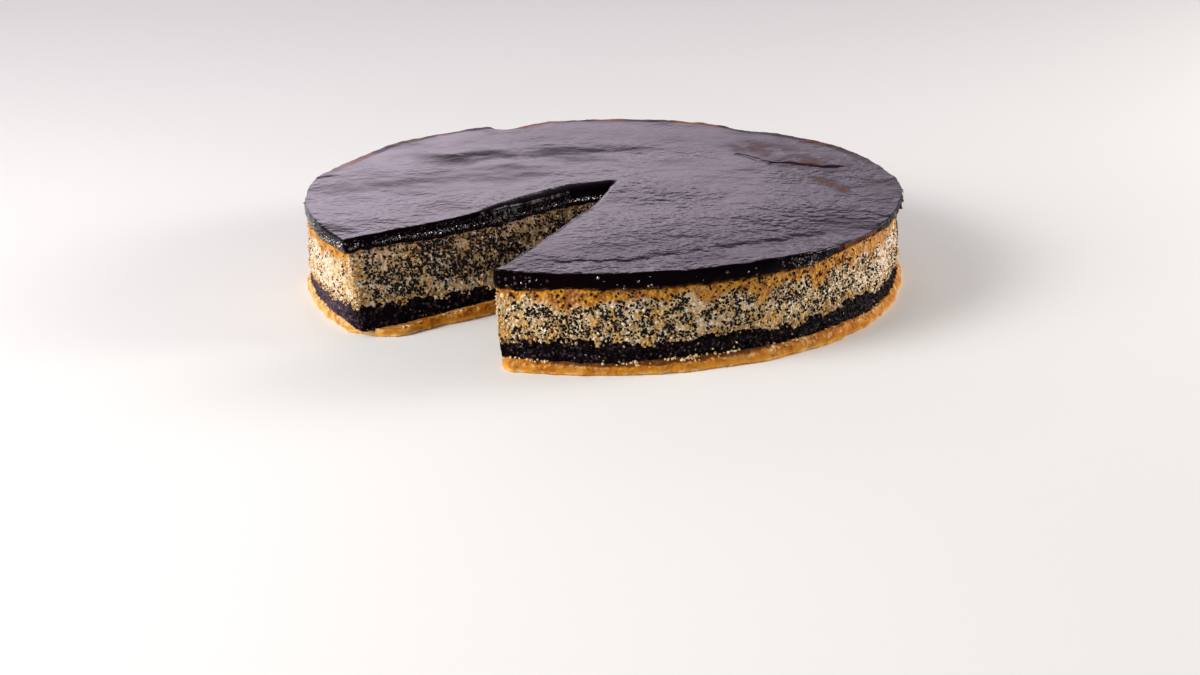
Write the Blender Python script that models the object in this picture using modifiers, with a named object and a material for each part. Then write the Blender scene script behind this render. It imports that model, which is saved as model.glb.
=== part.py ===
"""A poppy seed plum cheesecake with one slice cut out of it.

Four layers lie on each other: a golden pastry base, a dark crumb layer, a thick
poppy seed cheesecake filling and a plum glaze. Each is a turned disc whose rim and
faces are then settled into uneven, home-baked forms, and the missing slice is cut
out of each with a wedge whose sides lean the way the knife did.

Metres, +Z up. The origin is on the surface that the cake stands on, under the middle
of the pastry base. The slice is missing at the front left, between -X and -Y.
"""

import math
import random

import bmesh
import bpy
import numpy as np
from mathutils import Matrix, Vector
from mathutils.bvhtree import BVHTree

# ---------------------------------------------------------------- driving dimensions
MM = 0.001
GAP = 0.3 * MM                    # clear space between layers that touch

TIN_RADIUS = 120.0 * MM           # a cake from a 24 cm round tin
TIN_AXIS = Vector((-0.9 * MM, 0.0))   # the layers sit a little left of the base's middle
BASE_RADIUS = 120.9 * MM
DARK_RADIUS = 118.4 * MM
FILLING_RADIUS = 119.0 * MM
GLAZE_RADIUS = 120.0 * MM

BASE_TOP = 4.8 * MM               # mean heights of the three joints and of the top
DARK_TOP = 12.4 * MM
FILLING_TOP = 31.6 * MM
CAKE_TOP = 37.7 * MM
FILLING_SINK = 1.6 * MM           # the baked filling is lower in the middle
DARK_SINK = 1.3 * MM              # and so is the dark layer
GLAZE_SHOULDER = 3.2 * MM         # rounding of the glaze along the two cuts

# Places that stand out or draw in: (height in mm, middle and reach in degrees round the cake).
BASE_CORNER = (-1.2, 219.0, 16.0)     # the base is thin at its corner by the left cut
GLAZE_DROOP = (-1.7, 318.0, 22.0)     # the glaze hangs low at the right front
FILLING_RISE = (2.9, 325.0, 18.0)     # the filling stands higher under it there
FILLING_CREST = (3.2, 350.0, 24.0)    # and at the right, where the glaze ran thin
GLAZE_RUN = (-1.3, 253.0, 10.0)       # the glaze ran down at the corner by the right cut
DARK_BULGE = (0.9, 215.0, 25.0)       # the dark layer swells at its foot by the left cut
FILLING_PINCH = (-1.6, 2.0, 40.0)     # the filling draws in under the glaze at the right
RIM_DIPS = ((-1.5, 153.0, 15.0), (-0.7, 163.0, 8.0), (-2.3, 109.5, 9.0), (-1.2, 57.0, 9.0))
                                      # the glaze lies lower in four places at the back

# Ripples round the cake: each is (count, height in mm, start in degrees).
BASE_JOINT_WAVES = ((5, 0.25, 40.0), (11, 0.25, 200.0))
DARK_JOINT_WAVES = ((13, 0.8, -95.5), (7, 0.35, 30.0), (4, 0.3, 210.0))
FILLING_JOINT_WAVES = ((6, 0.2, 75.0), (15, 0.15, 10.0))
GLAZE_FACE_WAVES = ((9, 0.22, 120.0), (5, 0.2, 20.0))
BASE_RIM_WAVES = ((17, 0.35, 60.0), (7, 0.3, 0.0))
DARK_RIM_WAVES = ((19, 0.25, 5.0), (8, 0.25, 80.0))
FILLING_RIM_WAVES = ((10, 0.2, 15.0), (23, 0.12, 70.0))
GLAZE_RIM_WAVES = ((12, 0.2, 140.0), (27, 0.1, 33.0))

BASE_LEAN = 0.9 * MM              # the ledge leans in this far at its upper edge
DARK_FOOT = 0.4 * MM              # the dark layer is this much wider at its foot
GLAZE_TAPER = 0.6 * MM            # and the glaze this much narrower at its foot

# The knife's two cuts, as plan points at the top of the cake and at its foot. Both run
# from the rim to the place where they meet, past which the cake is whole.
LEFT_CUT = {"top": ((-97.2, -69.8), (-44.5, -32.0), (2.6, 6.0)),
            "foot": ((-93.5, -80.0), (-47.0, -51.8), (-1.8, -17.0))}
RIGHT_CUT = {"top": ((-42.3, -119.5), (-4.6, -23.7), (2.6, 6.0)),
             "foot": ((-40.4, -119.5), (-9.5, -37.0), (-1.8, -17.0))}
# The pastry base broke off unevenly: it sticks out of the left cut and lost both corners.
LEFT_BREAK = ((-93.5, -73.0), (-80.0, -77.8), (-62.0, -64.5), (-44.0, -50.0), (-1.8, -17.0))
RIGHT_BREAK = ((-31.5, -118.5), (-38.6, -111.0), (-26.0, -80.0), (-9.5, -38.5), (-1.8, -17.0))
CUT_REACH = 46.0 * MM             # how far the wedge is carried on outside the rim
CUTTER_SPARE = 4.0 * MM           # and above the top and below the underside
BREAK_FLARE = 0.4 * MM            # the broken edge of the base falls back at its top
SHOULDER_STEPS = 4                # flats across the glaze's rounding
CUT_PIECES = 14                   # short flats along one cut face
CUT_WANDER = 0.35 * MM            # unevenness of the cut faces
CRUMBLE = 0.7 * MM                # unevenness of the base's broken edge

TURN_STEPS = 60                   # flats round each layer
BLANK_MERGE = 0.00005             # joins the turned blank at its seam and its poles
SHARP_ANGLE = math.radians(40.0)  # edges that turn more than this stay sharp

SEED_RADIUS = 0.7 * MM
SEED_SHAPE = (1.0, 0.82, 0.78)    # poppy seeds are slightly longer than wide
SEED_SUNK = 0.12 * MM             # a seed's middle lies this far inside the surface
RIM_SEEDS = 176
CUT_SEEDS = 48                    # on each cut face
SEED_BAND = (0.14, 0.88)          # seeds stay inside this part of the filling's height
SEED_SPAN = (0.03, 0.83)          # and this part of a cut's length, from rim to meeting
SEED_JITTER = 0.3 * MM
SEED_ROOM = 1.8 * MM              # least distance between two seeds
RANDOM_START = 24
GOLDEN = (math.sqrt(5.0) - 1.0) / 2.0   # steps of this share spread places evenly

COLOURS = {
    "pastry_base": ((0.47, 0.22, 0.06), 0.75),
    "dark_crumb": ((0.016, 0.010, 0.013), 0.85),
    "cheesecake_filling": ((0.50, 0.31, 0.13), 0.65),
    "plum_glaze": ((0.022, 0.012, 0.022), 0.15),
}


# ---------------------------------------------------------------- uneven forms
def waves(angle, ripples):
    """Sum of the ripples at an angle round the cake."""
    total = np.zeros_like(angle)
    for count, height, start in ripples:
        total = total + height * MM * np.sin(count * angle + math.radians(start))
    return total


def swell(value, low, high):
    """0 below low, 1 above high, and a smooth S between them."""
    t = np.clip((value - low) / (high - low), 0.0, 1.0)
    return t * t * (3.0 - 2.0 * t)


def hump(angle, place):
    """The place's height at its middle angle, down to 0 beyond its reach on either side."""
    height, middle, reach = place
    away = np.degrees(np.angle(np.exp(1j * (angle - math.radians(middle)))))
    return height * MM * (1.0 - swell(np.abs(away), 0.0, reach))


def dimples(x, y, lengths, starts):
    """Soft hills and hollows between -1 and 1: a sine along X times a sine along Y."""
    return np.sin(x / lengths[0] + starts[0]) * np.sin(y / lengths[1] + starts[1])


def polar(x, y):
    """Radius and angle of plan points round the tin's axis."""
    dx = x - TIN_AXIS.x
    dy = y - TIN_AXIS.y
    return np.hypot(dx, dy), np.arctan2(dy, dx)


def base_joint(x, y):
    """Height of the joint between pastry base and dark layer."""
    radius, angle = polar(x, y)
    outer = swell(radius, 0.4 * TIN_RADIUS, TIN_RADIUS)
    return BASE_TOP + outer * (hump(angle, BASE_CORNER) + waves(angle, BASE_JOINT_WAVES))


def dark_joint(x, y):
    """Height of the joint between dark layer and filling, the most uneven one."""
    radius, angle = polar(x, y)
    outer = swell(radius, 0.25 * TIN_RADIUS, 0.95 * TIN_RADIUS)
    inner = 0.4 * MM * dimples(x, y, (11.0 * MM, 13.0 * MM), (1.0, 0.0))
    return DARK_TOP + inner - DARK_SINK * (1.0 - outer) + outer * waves(angle, DARK_JOINT_WAVES)


def filling_joint(x, y):
    """Height of the joint between filling and glaze: dished, and high at the right rim."""
    radius, angle = polar(x, y)
    outer = swell(radius, 0.55 * TIN_RADIUS, 0.97 * TIN_RADIUS)
    rise = hump(angle, FILLING_RISE) + hump(angle, FILLING_CREST) + hump(angle, GLAZE_RUN)
    edge = rise + waves(angle, FILLING_JOINT_WAVES)
    return FILLING_TOP - FILLING_SINK * (1.0 - outer) + outer * edge


def glaze_face(x, y):
    """Height of the cake's top: nearly level, softly rippled, hanging at the right front."""
    radius, angle = polar(x, y)
    rim = swell(radius, 0.86 * TIN_RADIUS, TIN_RADIUS)
    ripple = 0.22 * MM * dimples(x, y, (17.0 * MM, 12.0 * MM), (0.6, 1.1))
    edge = waves(angle, GLAZE_FACE_WAVES) + hump(angle, GLAZE_DROOP)
    edge = edge + sum(hump(angle, dip) for dip in RIM_DIPS)
    return CAKE_TOP + ripple + rim * edge


def ground(x, y):
    """The flat underside."""
    return np.zeros_like(x)


# ---------------------------------------------------------------- turned layers
def turned_blank(name, profile):
    """Disc of unit radius and height, turned from (radius, height) points, top to foot."""
    mesh = bpy.data.meshes.new(name)
    corners = [(radius, 0.0, height) for radius, height in profile]
    edges = [(i, i + 1) for i in range(len(corners) - 1)]
    mesh.from_pydata(corners, edges, [])
    lathe = bpy.data.objects.new(name + "_profile", mesh)
    bpy.context.scene.collection.objects.link(lathe)
    turn = lathe.modifiers.new("turn", "SCREW")
    turn.axis = "Z"
    turn.steps = TURN_STEPS
    turn.render_steps = TURN_STEPS
    turn.use_merge_vertices = True
    turn.merge_threshold = BLANK_MERGE
    bpy.context.view_layer.update()
    made = bpy.data.meshes.new_from_object(lathe.evaluated_get(bpy.context.evaluated_depsgraph_get()))
    bpy.data.objects.remove(lathe)
    bpy.data.meshes.remove(mesh)
    made.name = name
    return made


def settle(mesh, axis, rim, foot, top):
    """Carry the unit disc to size: its radius to rim(angle, height), its height to foot..top."""
    points = np.empty(3 * len(mesh.vertices))
    mesh.vertices.foreach_get("co", points)
    points = points.reshape(-1, 3)
    share = np.hypot(points[:, 0], points[:, 1])
    angle = np.arctan2(points[:, 1], points[:, 0])
    rise = points[:, 2]
    radius = share * rim(angle, rise)
    x = axis.x + radius * np.cos(angle)
    y = axis.y + radius * np.sin(angle)
    low = foot(x, y)
    settled = np.stack([x, y, low + rise * (top(x, y) - low)], axis=1)
    mesh.vertices.foreach_set("co", settled.ravel())
    mesh.update()


def lifted(surface, lift):
    """The same surface moved up by lift, or down where it is negative."""
    return lambda x, y: surface(x, y) + lift


def plain_material(name):
    """Material of one layer."""
    colour, roughness = COLOURS[name]
    material = bpy.data.materials.new(name)
    material.use_nodes = True
    shader = material.node_tree.nodes["Principled BSDF"]
    shader.inputs["Base Color"].default_value = (*colour, 1.0)
    shader.inputs["Roughness"].default_value = roughness
    shader.inputs["Metallic"].default_value = 0.0
    material.diffuse_color = (*colour, 1.0)
    return material


def make_layer(name, profile, axis, rim, foot, top, collection):
    """One layer of the cake, still whole, as an object."""
    mesh = turned_blank(name, profile)
    settle(mesh, axis, rim, foot, top)
    layer = bpy.data.objects.new(name, mesh)
    mesh.materials.append(plain_material(name))
    collection.objects.link(layer)
    return layer


# ---------------------------------------------------------------- the missing slice
def cut_line(cut, height):
    """A cut's plan points at one height, between those at the foot and at the top."""
    share = height / CAKE_TOP
    top = np.array(cut["top"]) * MM
    foot = np.array(cut["foot"]) * MM
    return foot + share * (top - foot)


def stretch(points, start, count):
    """Count + 1 points spaced evenly along the line from start through the given points."""
    line = np.vstack([start, points])
    lengths = np.linalg.norm(np.diff(line, axis=0), axis=1)
    along = np.concatenate([[0.0], np.cumsum(lengths)])
    places = np.linspace(0.0, along[-1], count + 1)
    return np.stack([np.interp(places, along, line[:, k]) for k in (0, 1)], axis=1)


def cut_side(cut, height, widen, wander, side):
    """Plan points of one wall of the wedge, from outside the rim to where the cuts meet.

    The wall is moved by widen out of the gap, into the cake, and wanders to either side
    by a sum of two ripples. side is +1 for the left cut and -1 for the right one.
    """
    points = cut_line(cut, height)
    outward = (points[0] - points[1]) / np.linalg.norm(points[0] - points[1])
    wall = stretch(points, points[0] + outward * CUT_REACH, CUT_PIECES)
    into_cake = side * np.array([outward[1], -outward[0]])
    place = np.linspace(0.0, 1.0, CUT_PIECES + 1)
    phase = 160.0 * height + 2.0 * side
    ripple = 0.6 * np.sin(23.0 * place + phase) + 0.4 * np.sin(41.0 * place - 2.0 * phase)
    return wall + (widen + wander * ripple)[:, None] * into_cake


def wedge(name, cuts, levels, wander, collection):
    """Cutter for the missing slice: rings of plan points at each (height, widening)."""
    shape = bmesh.new()
    rings = []
    for height, widen in levels:
        left = cut_side(cuts[0], height, widen, wander, 1.0)
        right = cut_side(cuts[1], height, widen, wander, -1.0)
        meeting = (left[-1] + right[-1]) / 2.0
        outline = np.vstack([left[:-1], meeting, right[-2::-1]])
        rings.append([shape.verts.new((x, y, height)) for x, y in outline])
    for low, high in zip(rings, rings[1:]):
        for i, start in enumerate(low):
            j = (i + 1) % len(low)
            shape.faces.new((start, low[j], high[j], high[i]))
    shape.faces.new(rings[0][::-1])
    shape.faces.new(rings[-1])
    bmesh.ops.triangulate(shape, faces=shape.faces[:])
    bmesh.ops.recalc_face_normals(shape, faces=shape.faces[:])
    mesh = bpy.data.meshes.new(name)
    shape.to_mesh(mesh)
    shape.free()
    cutter = bpy.data.objects.new(name, mesh)
    cutter.hide_render = True
    cutter.display_type = "WIRE"
    collection.objects.link(cutter)
    return cutter


def cut_out(layer, cutter):
    """Take the slice out of a layer."""
    cut = layer.modifiers.new("slice", "BOOLEAN")
    cut.operation = "DIFFERENCE"
    cut.solver = "EXACT"
    cut.object = cutter


def bake_modifiers(layer):
    """Make the modifiers' result the layer's own mesh."""
    bpy.context.view_layer.update()
    made = bpy.data.meshes.new_from_object(layer.evaluated_get(bpy.context.evaluated_depsgraph_get()))
    layer.modifiers.clear()
    old = layer.data
    layer.data = made
    bpy.data.meshes.remove(old)
    made.name = layer.name


# ---------------------------------------------------------------- poppy seeds
RAY_START = 3.0 * MM              # seeds are sought from this far outside the filling
WALL_MARKS = 100                  # marks along a cut, to place its seeds by
FACING = 0.6                      # a seed needs a surface that faces the ray this much


def between(span, share):
    """The value a given share of the way along a span."""
    return span[0] + (span[1] - span[0]) * share


def rim_spots(chance):
    """(start, direction) of rays that meet the outer side where its seeds lie."""
    for i in range(RIM_SEEDS):
        angle = math.tau * ((i * GOLDEN) % 1.0)
        share = between(SEED_BAND, (i + 0.5) / RIM_SEEDS)
        outward = Vector((math.cos(angle), math.sin(angle), 0.0))
        x, y = TIN_AXIS + FILLING_RADIUS * outward.xy
        low = float(dark_joint(x, y))
        height = low + share * (float(filling_joint(x, y)) - low)
        height += chance.uniform(-SEED_JITTER, SEED_JITTER)
        yield Vector((x, y, height)) + RAY_START * outward, -outward


def cut_spots(chance, cut, side):
    """(start, direction) of rays that meet one cut face where its seeds lie."""
    for i in range(CUT_SEEDS):
        share = between(SEED_BAND, (i * GOLDEN) % 1.0)
        along = between(SEED_SPAN, (i + chance.uniform(0.3, 0.7)) / CUT_SEEDS)
        height = DARK_TOP + share * (FILLING_TOP - FILLING_SINK - DARK_TOP)
        points = cut_line(cut, height)
        wall = stretch(points[1:], points[0], WALL_MARKS)
        x, y = wall[round(along * WALL_MARKS)]
        outward = (points[0] - points[1]) / np.linalg.norm(points[0] - points[1])
        into_cake = side * Vector((outward[1], -outward[0], 0.0))
        yield Vector((x, y, height)) - RAY_START * into_cake, into_cake


def plant_seeds(filling):
    """Half-sunk poppy seeds on the filling's outer side and cut faces, joined to it."""
    chance = random.Random(RANDOM_START)
    surface = BVHTree.FromPolygons(
        [vertex.co for vertex in filling.data.vertices],
        [tuple(face.vertices) for face in filling.data.polygons])
    seeds = bpy.data.collections.new("seeds")
    bpy.context.scene.collection.children.link(seeds)
    rays = list(rim_spots(chance))
    rays += list(cut_spots(chance, LEFT_CUT, 1.0))
    rays += list(cut_spots(chance, RIGHT_CUT, -1.0))
    planted = []
    for start, direction in rays:
        place, normal, _, _ = surface.ray_cast(start, direction, 2.0 * RAY_START)
        if place is None or normal.dot(direction) > -FACING:
            continue
        if any((place - other).length < SEED_ROOM for other in planted):
            continue
        planted.append(place)
        shape = bmesh.new()
        bmesh.ops.create_icosphere(shape, subdivisions=1, radius=SEED_RADIUS)
        bmesh.ops.scale(shape, vec=SEED_SHAPE, verts=shape.verts[:])
        turn = Matrix.Rotation(chance.uniform(0.0, math.tau), 4, normal)
        tilt = normal.to_track_quat("Z", "X").to_matrix().to_4x4()
        middle = place - normal * SEED_SUNK
        bmesh.ops.transform(shape, matrix=Matrix.Translation(middle) @ turn @ tilt, verts=shape.verts[:])
        mesh = bpy.data.meshes.new("seed")
        shape.to_mesh(mesh)
        shape.free()
        seeds.objects.link(bpy.data.objects.new("seed", mesh))
    join = filling.modifiers.new("seeds", "BOOLEAN")
    join.operation = "UNION"
    join.operand_type = "COLLECTION"
    join.solver = "MANIFOLD"
    join.collection = seeds
    bake_modifiers(filling)
    for seed in list(seeds.objects):
        mesh = seed.data
        bpy.data.objects.remove(seed)
        bpy.data.meshes.remove(mesh)
    bpy.data.collections.remove(seeds)


# ---------------------------------------------------------------- the four layers
def base_rim(angle, rise):
    """Pastry base: a rounded, crumbly ledge that leans in towards its upper edge."""
    lean = BASE_LEAN * swell(rise, 0.5, 1.0)
    return BASE_RADIUS - lean + rise * waves(angle, BASE_RIM_WAVES)


def dark_rim(angle, rise):
    """Dark layer: granular, a little behind the filling, bulging at the foot."""
    foot = (DARK_FOOT + hump(angle, DARK_BULGE)) * (1.0 - rise)
    return DARK_RADIUS + foot + waves(angle, DARK_RIM_WAVES)


def filling_rim(angle, rise):
    """Filling: nearly plumb, drawn in under the glaze at the right."""
    pinch = swell(rise, 0.3, 0.9) * hump(angle, FILLING_PINCH)
    return FILLING_RADIUS + pinch + waves(angle, FILLING_RIM_WAVES)


def glaze_rim(angle, rise):
    """Glaze: its side slopes in a little towards the foot."""
    return GLAZE_RADIUS - GLAZE_TAPER * (1.0 - rise) + waves(angle, GLAZE_RIM_WAVES)


# Half outlines of the turned layers: (share of the radius, share of the height), top to foot.
SLAB = ((0.0, 1.0), (0.4, 1.0), (0.75, 1.0), (0.93, 1.0), (1.0, 1.0), (1.0, 0.5),
        (1.0, 0.0), (0.93, 0.0), (0.75, 0.0), (0.4, 0.0), (0.0, 0.0))
LEDGE = ((0.0, 1.0), (0.4, 1.0), (0.75, 1.0), (0.93, 1.0), (0.985, 1.0), (0.998, 0.72),
         (1.0, 0.25), (0.994, 0.0), (0.0, 0.0))
ROUNDED = ((0.0, 1.0), (0.4, 1.0), (0.75, 1.0), (0.91, 1.0), (0.982, 1.0), (0.994, 0.93),
           (1.0, 0.72), (0.998, 0.0), (0.93, 0.0), (0.75, 0.0), (0.4, 0.0), (0.0, 0.0))


def build():
    """The whole cake."""
    for stale in list(bpy.data.objects):
        bpy.data.objects.remove(stale)
    cake = bpy.data.collections.new("poppy_seed_plum_cheesecake")
    cutters = bpy.data.collections.new("cutters")
    bpy.context.scene.collection.children.link(cake)
    bpy.context.scene.collection.children.link(cutters)
    middle = Vector((0.0, 0.0))
    half = GAP / 2.0
    above = CAKE_TOP + CUTTER_SPARE
    below = -CUTTER_SPARE

    base = make_layer("pastry_base", LEDGE, middle, base_rim, ground, lifted(base_joint, -half), cake)
    dark = make_layer("dark_crumb", SLAB, TIN_AXIS, dark_rim,
                      lifted(base_joint, half), lifted(dark_joint, -half), cake)
    filling = make_layer("cheesecake_filling", SLAB, TIN_AXIS, filling_rim,
                         lifted(dark_joint, half), lifted(filling_joint, -half), cake)
    glaze = make_layer("plum_glaze", ROUNDED, TIN_AXIS, glaze_rim,
                       lifted(filling_joint, half), glaze_face, cake)

    base_levels = ((below, 0.0), (0.5 * BASE_TOP, 0.0), (BASE_TOP, BREAK_FLARE),
                   (above, BREAK_FLARE))
    body_levels = ((below, 0.0), (0.5 * DARK_TOP, 0.0), (DARK_TOP, 0.0), (0.5 * CAKE_TOP, 0.0),
                   (FILLING_TOP - FILLING_SINK, 0.0), (above, 0.0))
    glaze_levels = [(below, 0.0)]
    for step in range(SHOULDER_STEPS):
        turn = 0.5 * math.pi * step / SHOULDER_STEPS
        glaze_levels.append((CAKE_TOP - GLAZE_SHOULDER * (1.0 - math.sin(turn)),
                             GLAZE_SHOULDER * (1.0 - math.cos(turn))))
    glaze_levels.append((above, GLAZE_SHOULDER * 1.5))

    knife = (LEFT_CUT, RIGHT_CUT)
    broken = tuple({"top": edge, "foot": edge} for edge in (LEFT_BREAK, RIGHT_BREAK))
    cut_out(base, wedge("slice_in_base", broken, base_levels, CRUMBLE, cutters))
    cut_out(dark, wedge("slice_in_dark", knife, body_levels, CUT_WANDER, cutters))
    cut_out(filling, wedge("slice_in_filling", knife, body_levels, CUT_WANDER, cutters))
    cut_out(glaze, wedge("slice_in_glaze", knife, glaze_levels, CUT_WANDER, cutters))

    bake_modifiers(filling)
    plant_seeds(filling)
    for layer in (base, dark, filling, glaze):
        layer.data.shade_smooth()
        layer.data.set_sharp_from_angle(angle=SHARP_ANGLE)


build()
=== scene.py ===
# %% [markdown]
# # A poppy seed plum cheesecake
# A round cake from a 24 cm tin with one slice cut out of it. Four layers lie on each other: a
# golden pastry base, a dark crumb layer, a thick filling full of poppy seeds, and a plum glaze.
# The packed solids give each layer its place and its main form. Here each solid is replaced by a
# finer surface of the same form, with the roughness of curd, crumb and pastry, and with its
# colours. The packed model is loaded first, because every size below has to agree with it.

import math

import bpy
import numpy as np
from mathutils import Matrix, Vector


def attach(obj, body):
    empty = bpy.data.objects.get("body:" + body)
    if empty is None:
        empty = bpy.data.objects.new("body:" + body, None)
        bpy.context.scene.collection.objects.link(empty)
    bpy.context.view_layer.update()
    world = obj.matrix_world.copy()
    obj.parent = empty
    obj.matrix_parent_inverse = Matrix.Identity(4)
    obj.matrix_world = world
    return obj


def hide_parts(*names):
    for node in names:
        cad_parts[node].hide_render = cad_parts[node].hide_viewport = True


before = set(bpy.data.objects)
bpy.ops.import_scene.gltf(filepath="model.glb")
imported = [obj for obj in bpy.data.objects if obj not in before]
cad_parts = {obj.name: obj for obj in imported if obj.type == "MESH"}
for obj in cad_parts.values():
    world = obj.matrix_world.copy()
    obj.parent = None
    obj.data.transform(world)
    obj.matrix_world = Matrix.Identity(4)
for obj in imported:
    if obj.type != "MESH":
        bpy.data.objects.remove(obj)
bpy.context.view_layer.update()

# %% [markdown]
# ## Sizes
# All lengths are in millimetres, as a baker would measure them, and become metres only when a
# mesh is made. The tin's axis lies a little left of the middle of the base. Two cuts of the knife
# give the gap: each is a line of plan points at the cake's top and another at its foot, because
# the knife leaned. The base broke along lines of its own.

# %% Sizes of the cake
MM = 0.001
TIN_RADIUS = 120.0
TIN_AXIS = np.array([-0.9, 0.0])
BASE_RADIUS, DARK_RADIUS, FILLING_RADIUS, GLAZE_RADIUS = 120.9, 118.4, 119.0, 120.0
BASE_TOP, DARK_TOP, FILLING_TOP, CAKE_TOP = 4.8, 12.4, 31.6, 37.7

LEFT_CUT = {"top": ((-97.2, -69.8), (-44.5, -32.0), (-14.5, -1.5), (2.6, 6.0)),
            "foot": ((-93.5, -80.0), (-47.0, -51.8), (-18.1, -29.5), (-1.8, -17.0))}
RIGHT_CUT = {"top": ((-42.3, -119.5), (-4.6, -23.7), (2.6, 6.0)),
             "foot": ((-40.4, -119.5), (-9.5, -37.0), (-1.8, -17.0))}
LEFT_BREAK = ((-93.5, -73.0), (-80.0, -77.8), (-62.0, -64.5), (-44.0, -50.0), (-1.8, -17.0))
RIGHT_BREAK = ((-31.5, -118.5), (-38.6, -111.0), (-26.0, -80.0), (-9.5, -38.5), (-1.8, -17.0))
KNIFE = (LEFT_CUT, RIGHT_CUT)
BROKEN = tuple({"top": edge, "foot": edge} for edge in (LEFT_BREAK, RIGHT_BREAK))
print("cake", 2 * TIN_RADIUS, "mm across and", CAKE_TOP, "mm high")

# %% [markdown]
# ## Uneven forms
# Nothing on a home-baked cake is level or round. Long, soft unevenness is a sum of sine ripples
# round the cake and of a few humps. Short unevenness, such as curd or crumb, is a random height
# at each corner of a fine lattice of cubes, blended smoothly in between. A fixed seed makes it
# the same each time.

# %% Ripples, humps and random lumps
LATTICE = 64
corner_heights = np.random.default_rng(11).uniform(-1.0, 1.0, (LATTICE, LATTICE, LATTICE))


def waves(angle, *ripples):
    """Sum of height * sin(count * angle + start) over the ripples; start in degrees."""
    return sum(height * np.sin(count * angle + np.radians(start))
               for count, height, start in ripples)


def swell(value, low, high):
    """0 below low, 1 above high, and t * t * (3 - 2 t) in between."""
    t = np.clip((value - low) / (high - low), 0.0, 1.0)
    return t * t * (3.0 - 2.0 * t)


def humps(angle, *places):
    """Sum over (height, middle, reach): the height at the middle, 0 from reach degrees on."""
    total = 0.0
    for height, middle, reach in places:
        away = np.degrees(np.angle(np.exp(1j * (angle - math.radians(middle)))))
        total = total + height * (1.0 - swell(np.abs(away), 0.0, reach))
    return total


def dimples(x, y, lengths, starts):
    """sin(x / length + start) * sin(y / length + start): soft hills and hollows."""
    return np.sin(x / lengths[0] + starts[0]) * np.sin(y / lengths[1] + starts[1])


def lumps(x, y, z, size, shift=0.0):
    """Random hills between -1 and 1, about one every size mm: the blend of the eight heights
    at the corners of the cube that a point is in, weighted by the smoothed share of each."""
    place = np.stack(np.broadcast_arrays(x, y, z)) / size + shift
    cell = np.floor(place).astype(int)
    share = swell(place - cell, 0.0, 1.0)
    total = 0.0
    for corner in np.ndindex(2, 2, 2):
        side = np.array(corner).reshape(3, *[1] * (place.ndim - 1))
        weight = np.prod(np.where(side == 1, share, 1.0 - share), axis=0)
        total = total + weight * corner_heights[tuple((cell + side) % LATTICE)]
    return total


def crumbs_of(x, y, z, size, shift=0.0):
    """Lumps of one size, of half that size and of a quarter, each half as high as the last."""
    return (lumps(x, y, z, size, shift) + 0.5 * lumps(x, y, z, size / 2, shift + 7.3)
            + 0.25 * lumps(x, y, z, size / 4, shift + 3.1)) / 1.75


print("roughest lump:", round(float(np.abs(corner_heights).max()), 3))

# %% [markdown]
# ## Joints between the layers
# Each joint is one height for each place in plan, and the layer below ends where the layer above
# begins, so the two share the function. A ragged edge comes on top of the long waves, because the
# curd sank into the crumb while it baked.

# %% Heights of the joints and of the top
def polar(x, y):
    """Radius and angle round the tin's axis."""
    return np.hypot(x - TIN_AXIS[0], y - TIN_AXIS[1]), np.arctan2(y - TIN_AXIS[1], x - TIN_AXIS[0])


def bearing(points):
    """Angle round the tin's axis of each point of an array."""
    return polar(points[..., 0], points[..., 1])[1]


def outer_part(radius, low, high):
    """0 inside low and 1 outside high, both as shares of the tin's radius."""
    return swell(radius, low * TIN_RADIUS, high * TIN_RADIUS)


def underside(x, y):
    """The flat underside."""
    return np.zeros_like(x)


def base_joint(x, y):
    """Pastry base to dark crumb: 4.8 mm, thinner at the corner by the left cut."""
    radius, angle = polar(x, y)
    long_waves = (humps(angle, (-1.2, 220.0, 9.0), (-1.6, 223.0, 11.0))
                  + waves(angle, (5, 0.25, 40.0), (11, 0.25, 200.0)))
    ragged = 0.35 * crumbs_of(x, y, 0.0, 3.2, 5.0)
    return BASE_TOP + outer_part(radius, 0.4, 1.0) * long_waves + ragged


def dark_joint(x, y):
    """Dark crumb to filling: 12.4 mm at the rim, up to 2.5 mm lower inside, and ragged."""
    radius, angle = polar(x, y)
    outer = outer_part(radius, 0.25, 0.95)
    ripple = (waves(angle, (13, 0.8, -95.5), (7, 0.35, 30.0), (4, 0.3, 210.0))
              + humps(angle, (-2.6, 207.0, 11.0)))
    inner = 0.4 * dimples(x, y, (11.0, 13.0), (1.0, 0.0))
    ragged = 1.4 * crumbs_of(x, y, 0.0, 3.8, 1.0) + 0.7 * lumps(x, y, 0.0, 1.5, 6.0)
    sunk = 1.3 * (1.0 - outer) + 1.2 * (1.0 - outer_part(radius, 0.75, 0.97))
    return DARK_TOP + inner - sunk + outer * ripple + ragged


def filling_joint(x, y):
    """Filling to glaze: 31.6 mm at the rim, dished inside, high at the right front."""
    radius, angle = polar(x, y)
    outer = outer_part(radius, 0.55, 0.97)
    edge = (humps(angle, (2.9, 325.0, 18.0), (3.2, 350.0, 24.0), (-1.3, 253.0, 10.0))
            + waves(angle, (6, 0.2, 75.0), (15, 0.15, 10.0)))
    ragged = 0.35 * crumbs_of(x, y, 0.0, 5.0, 2.0) + 0.45 * lumps(x, y, 0.0, 1.8, 9.0)
    return FILLING_TOP - 0.9 * (1.0 - outer) + outer * edge + ragged


RIM_DIPS = ((-1.5, 153.0, 15.0), (-0.7, 163.0, 8.0), (-2.3, 109.5, 9.0), (-1.2, 57.0, 9.0))


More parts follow.
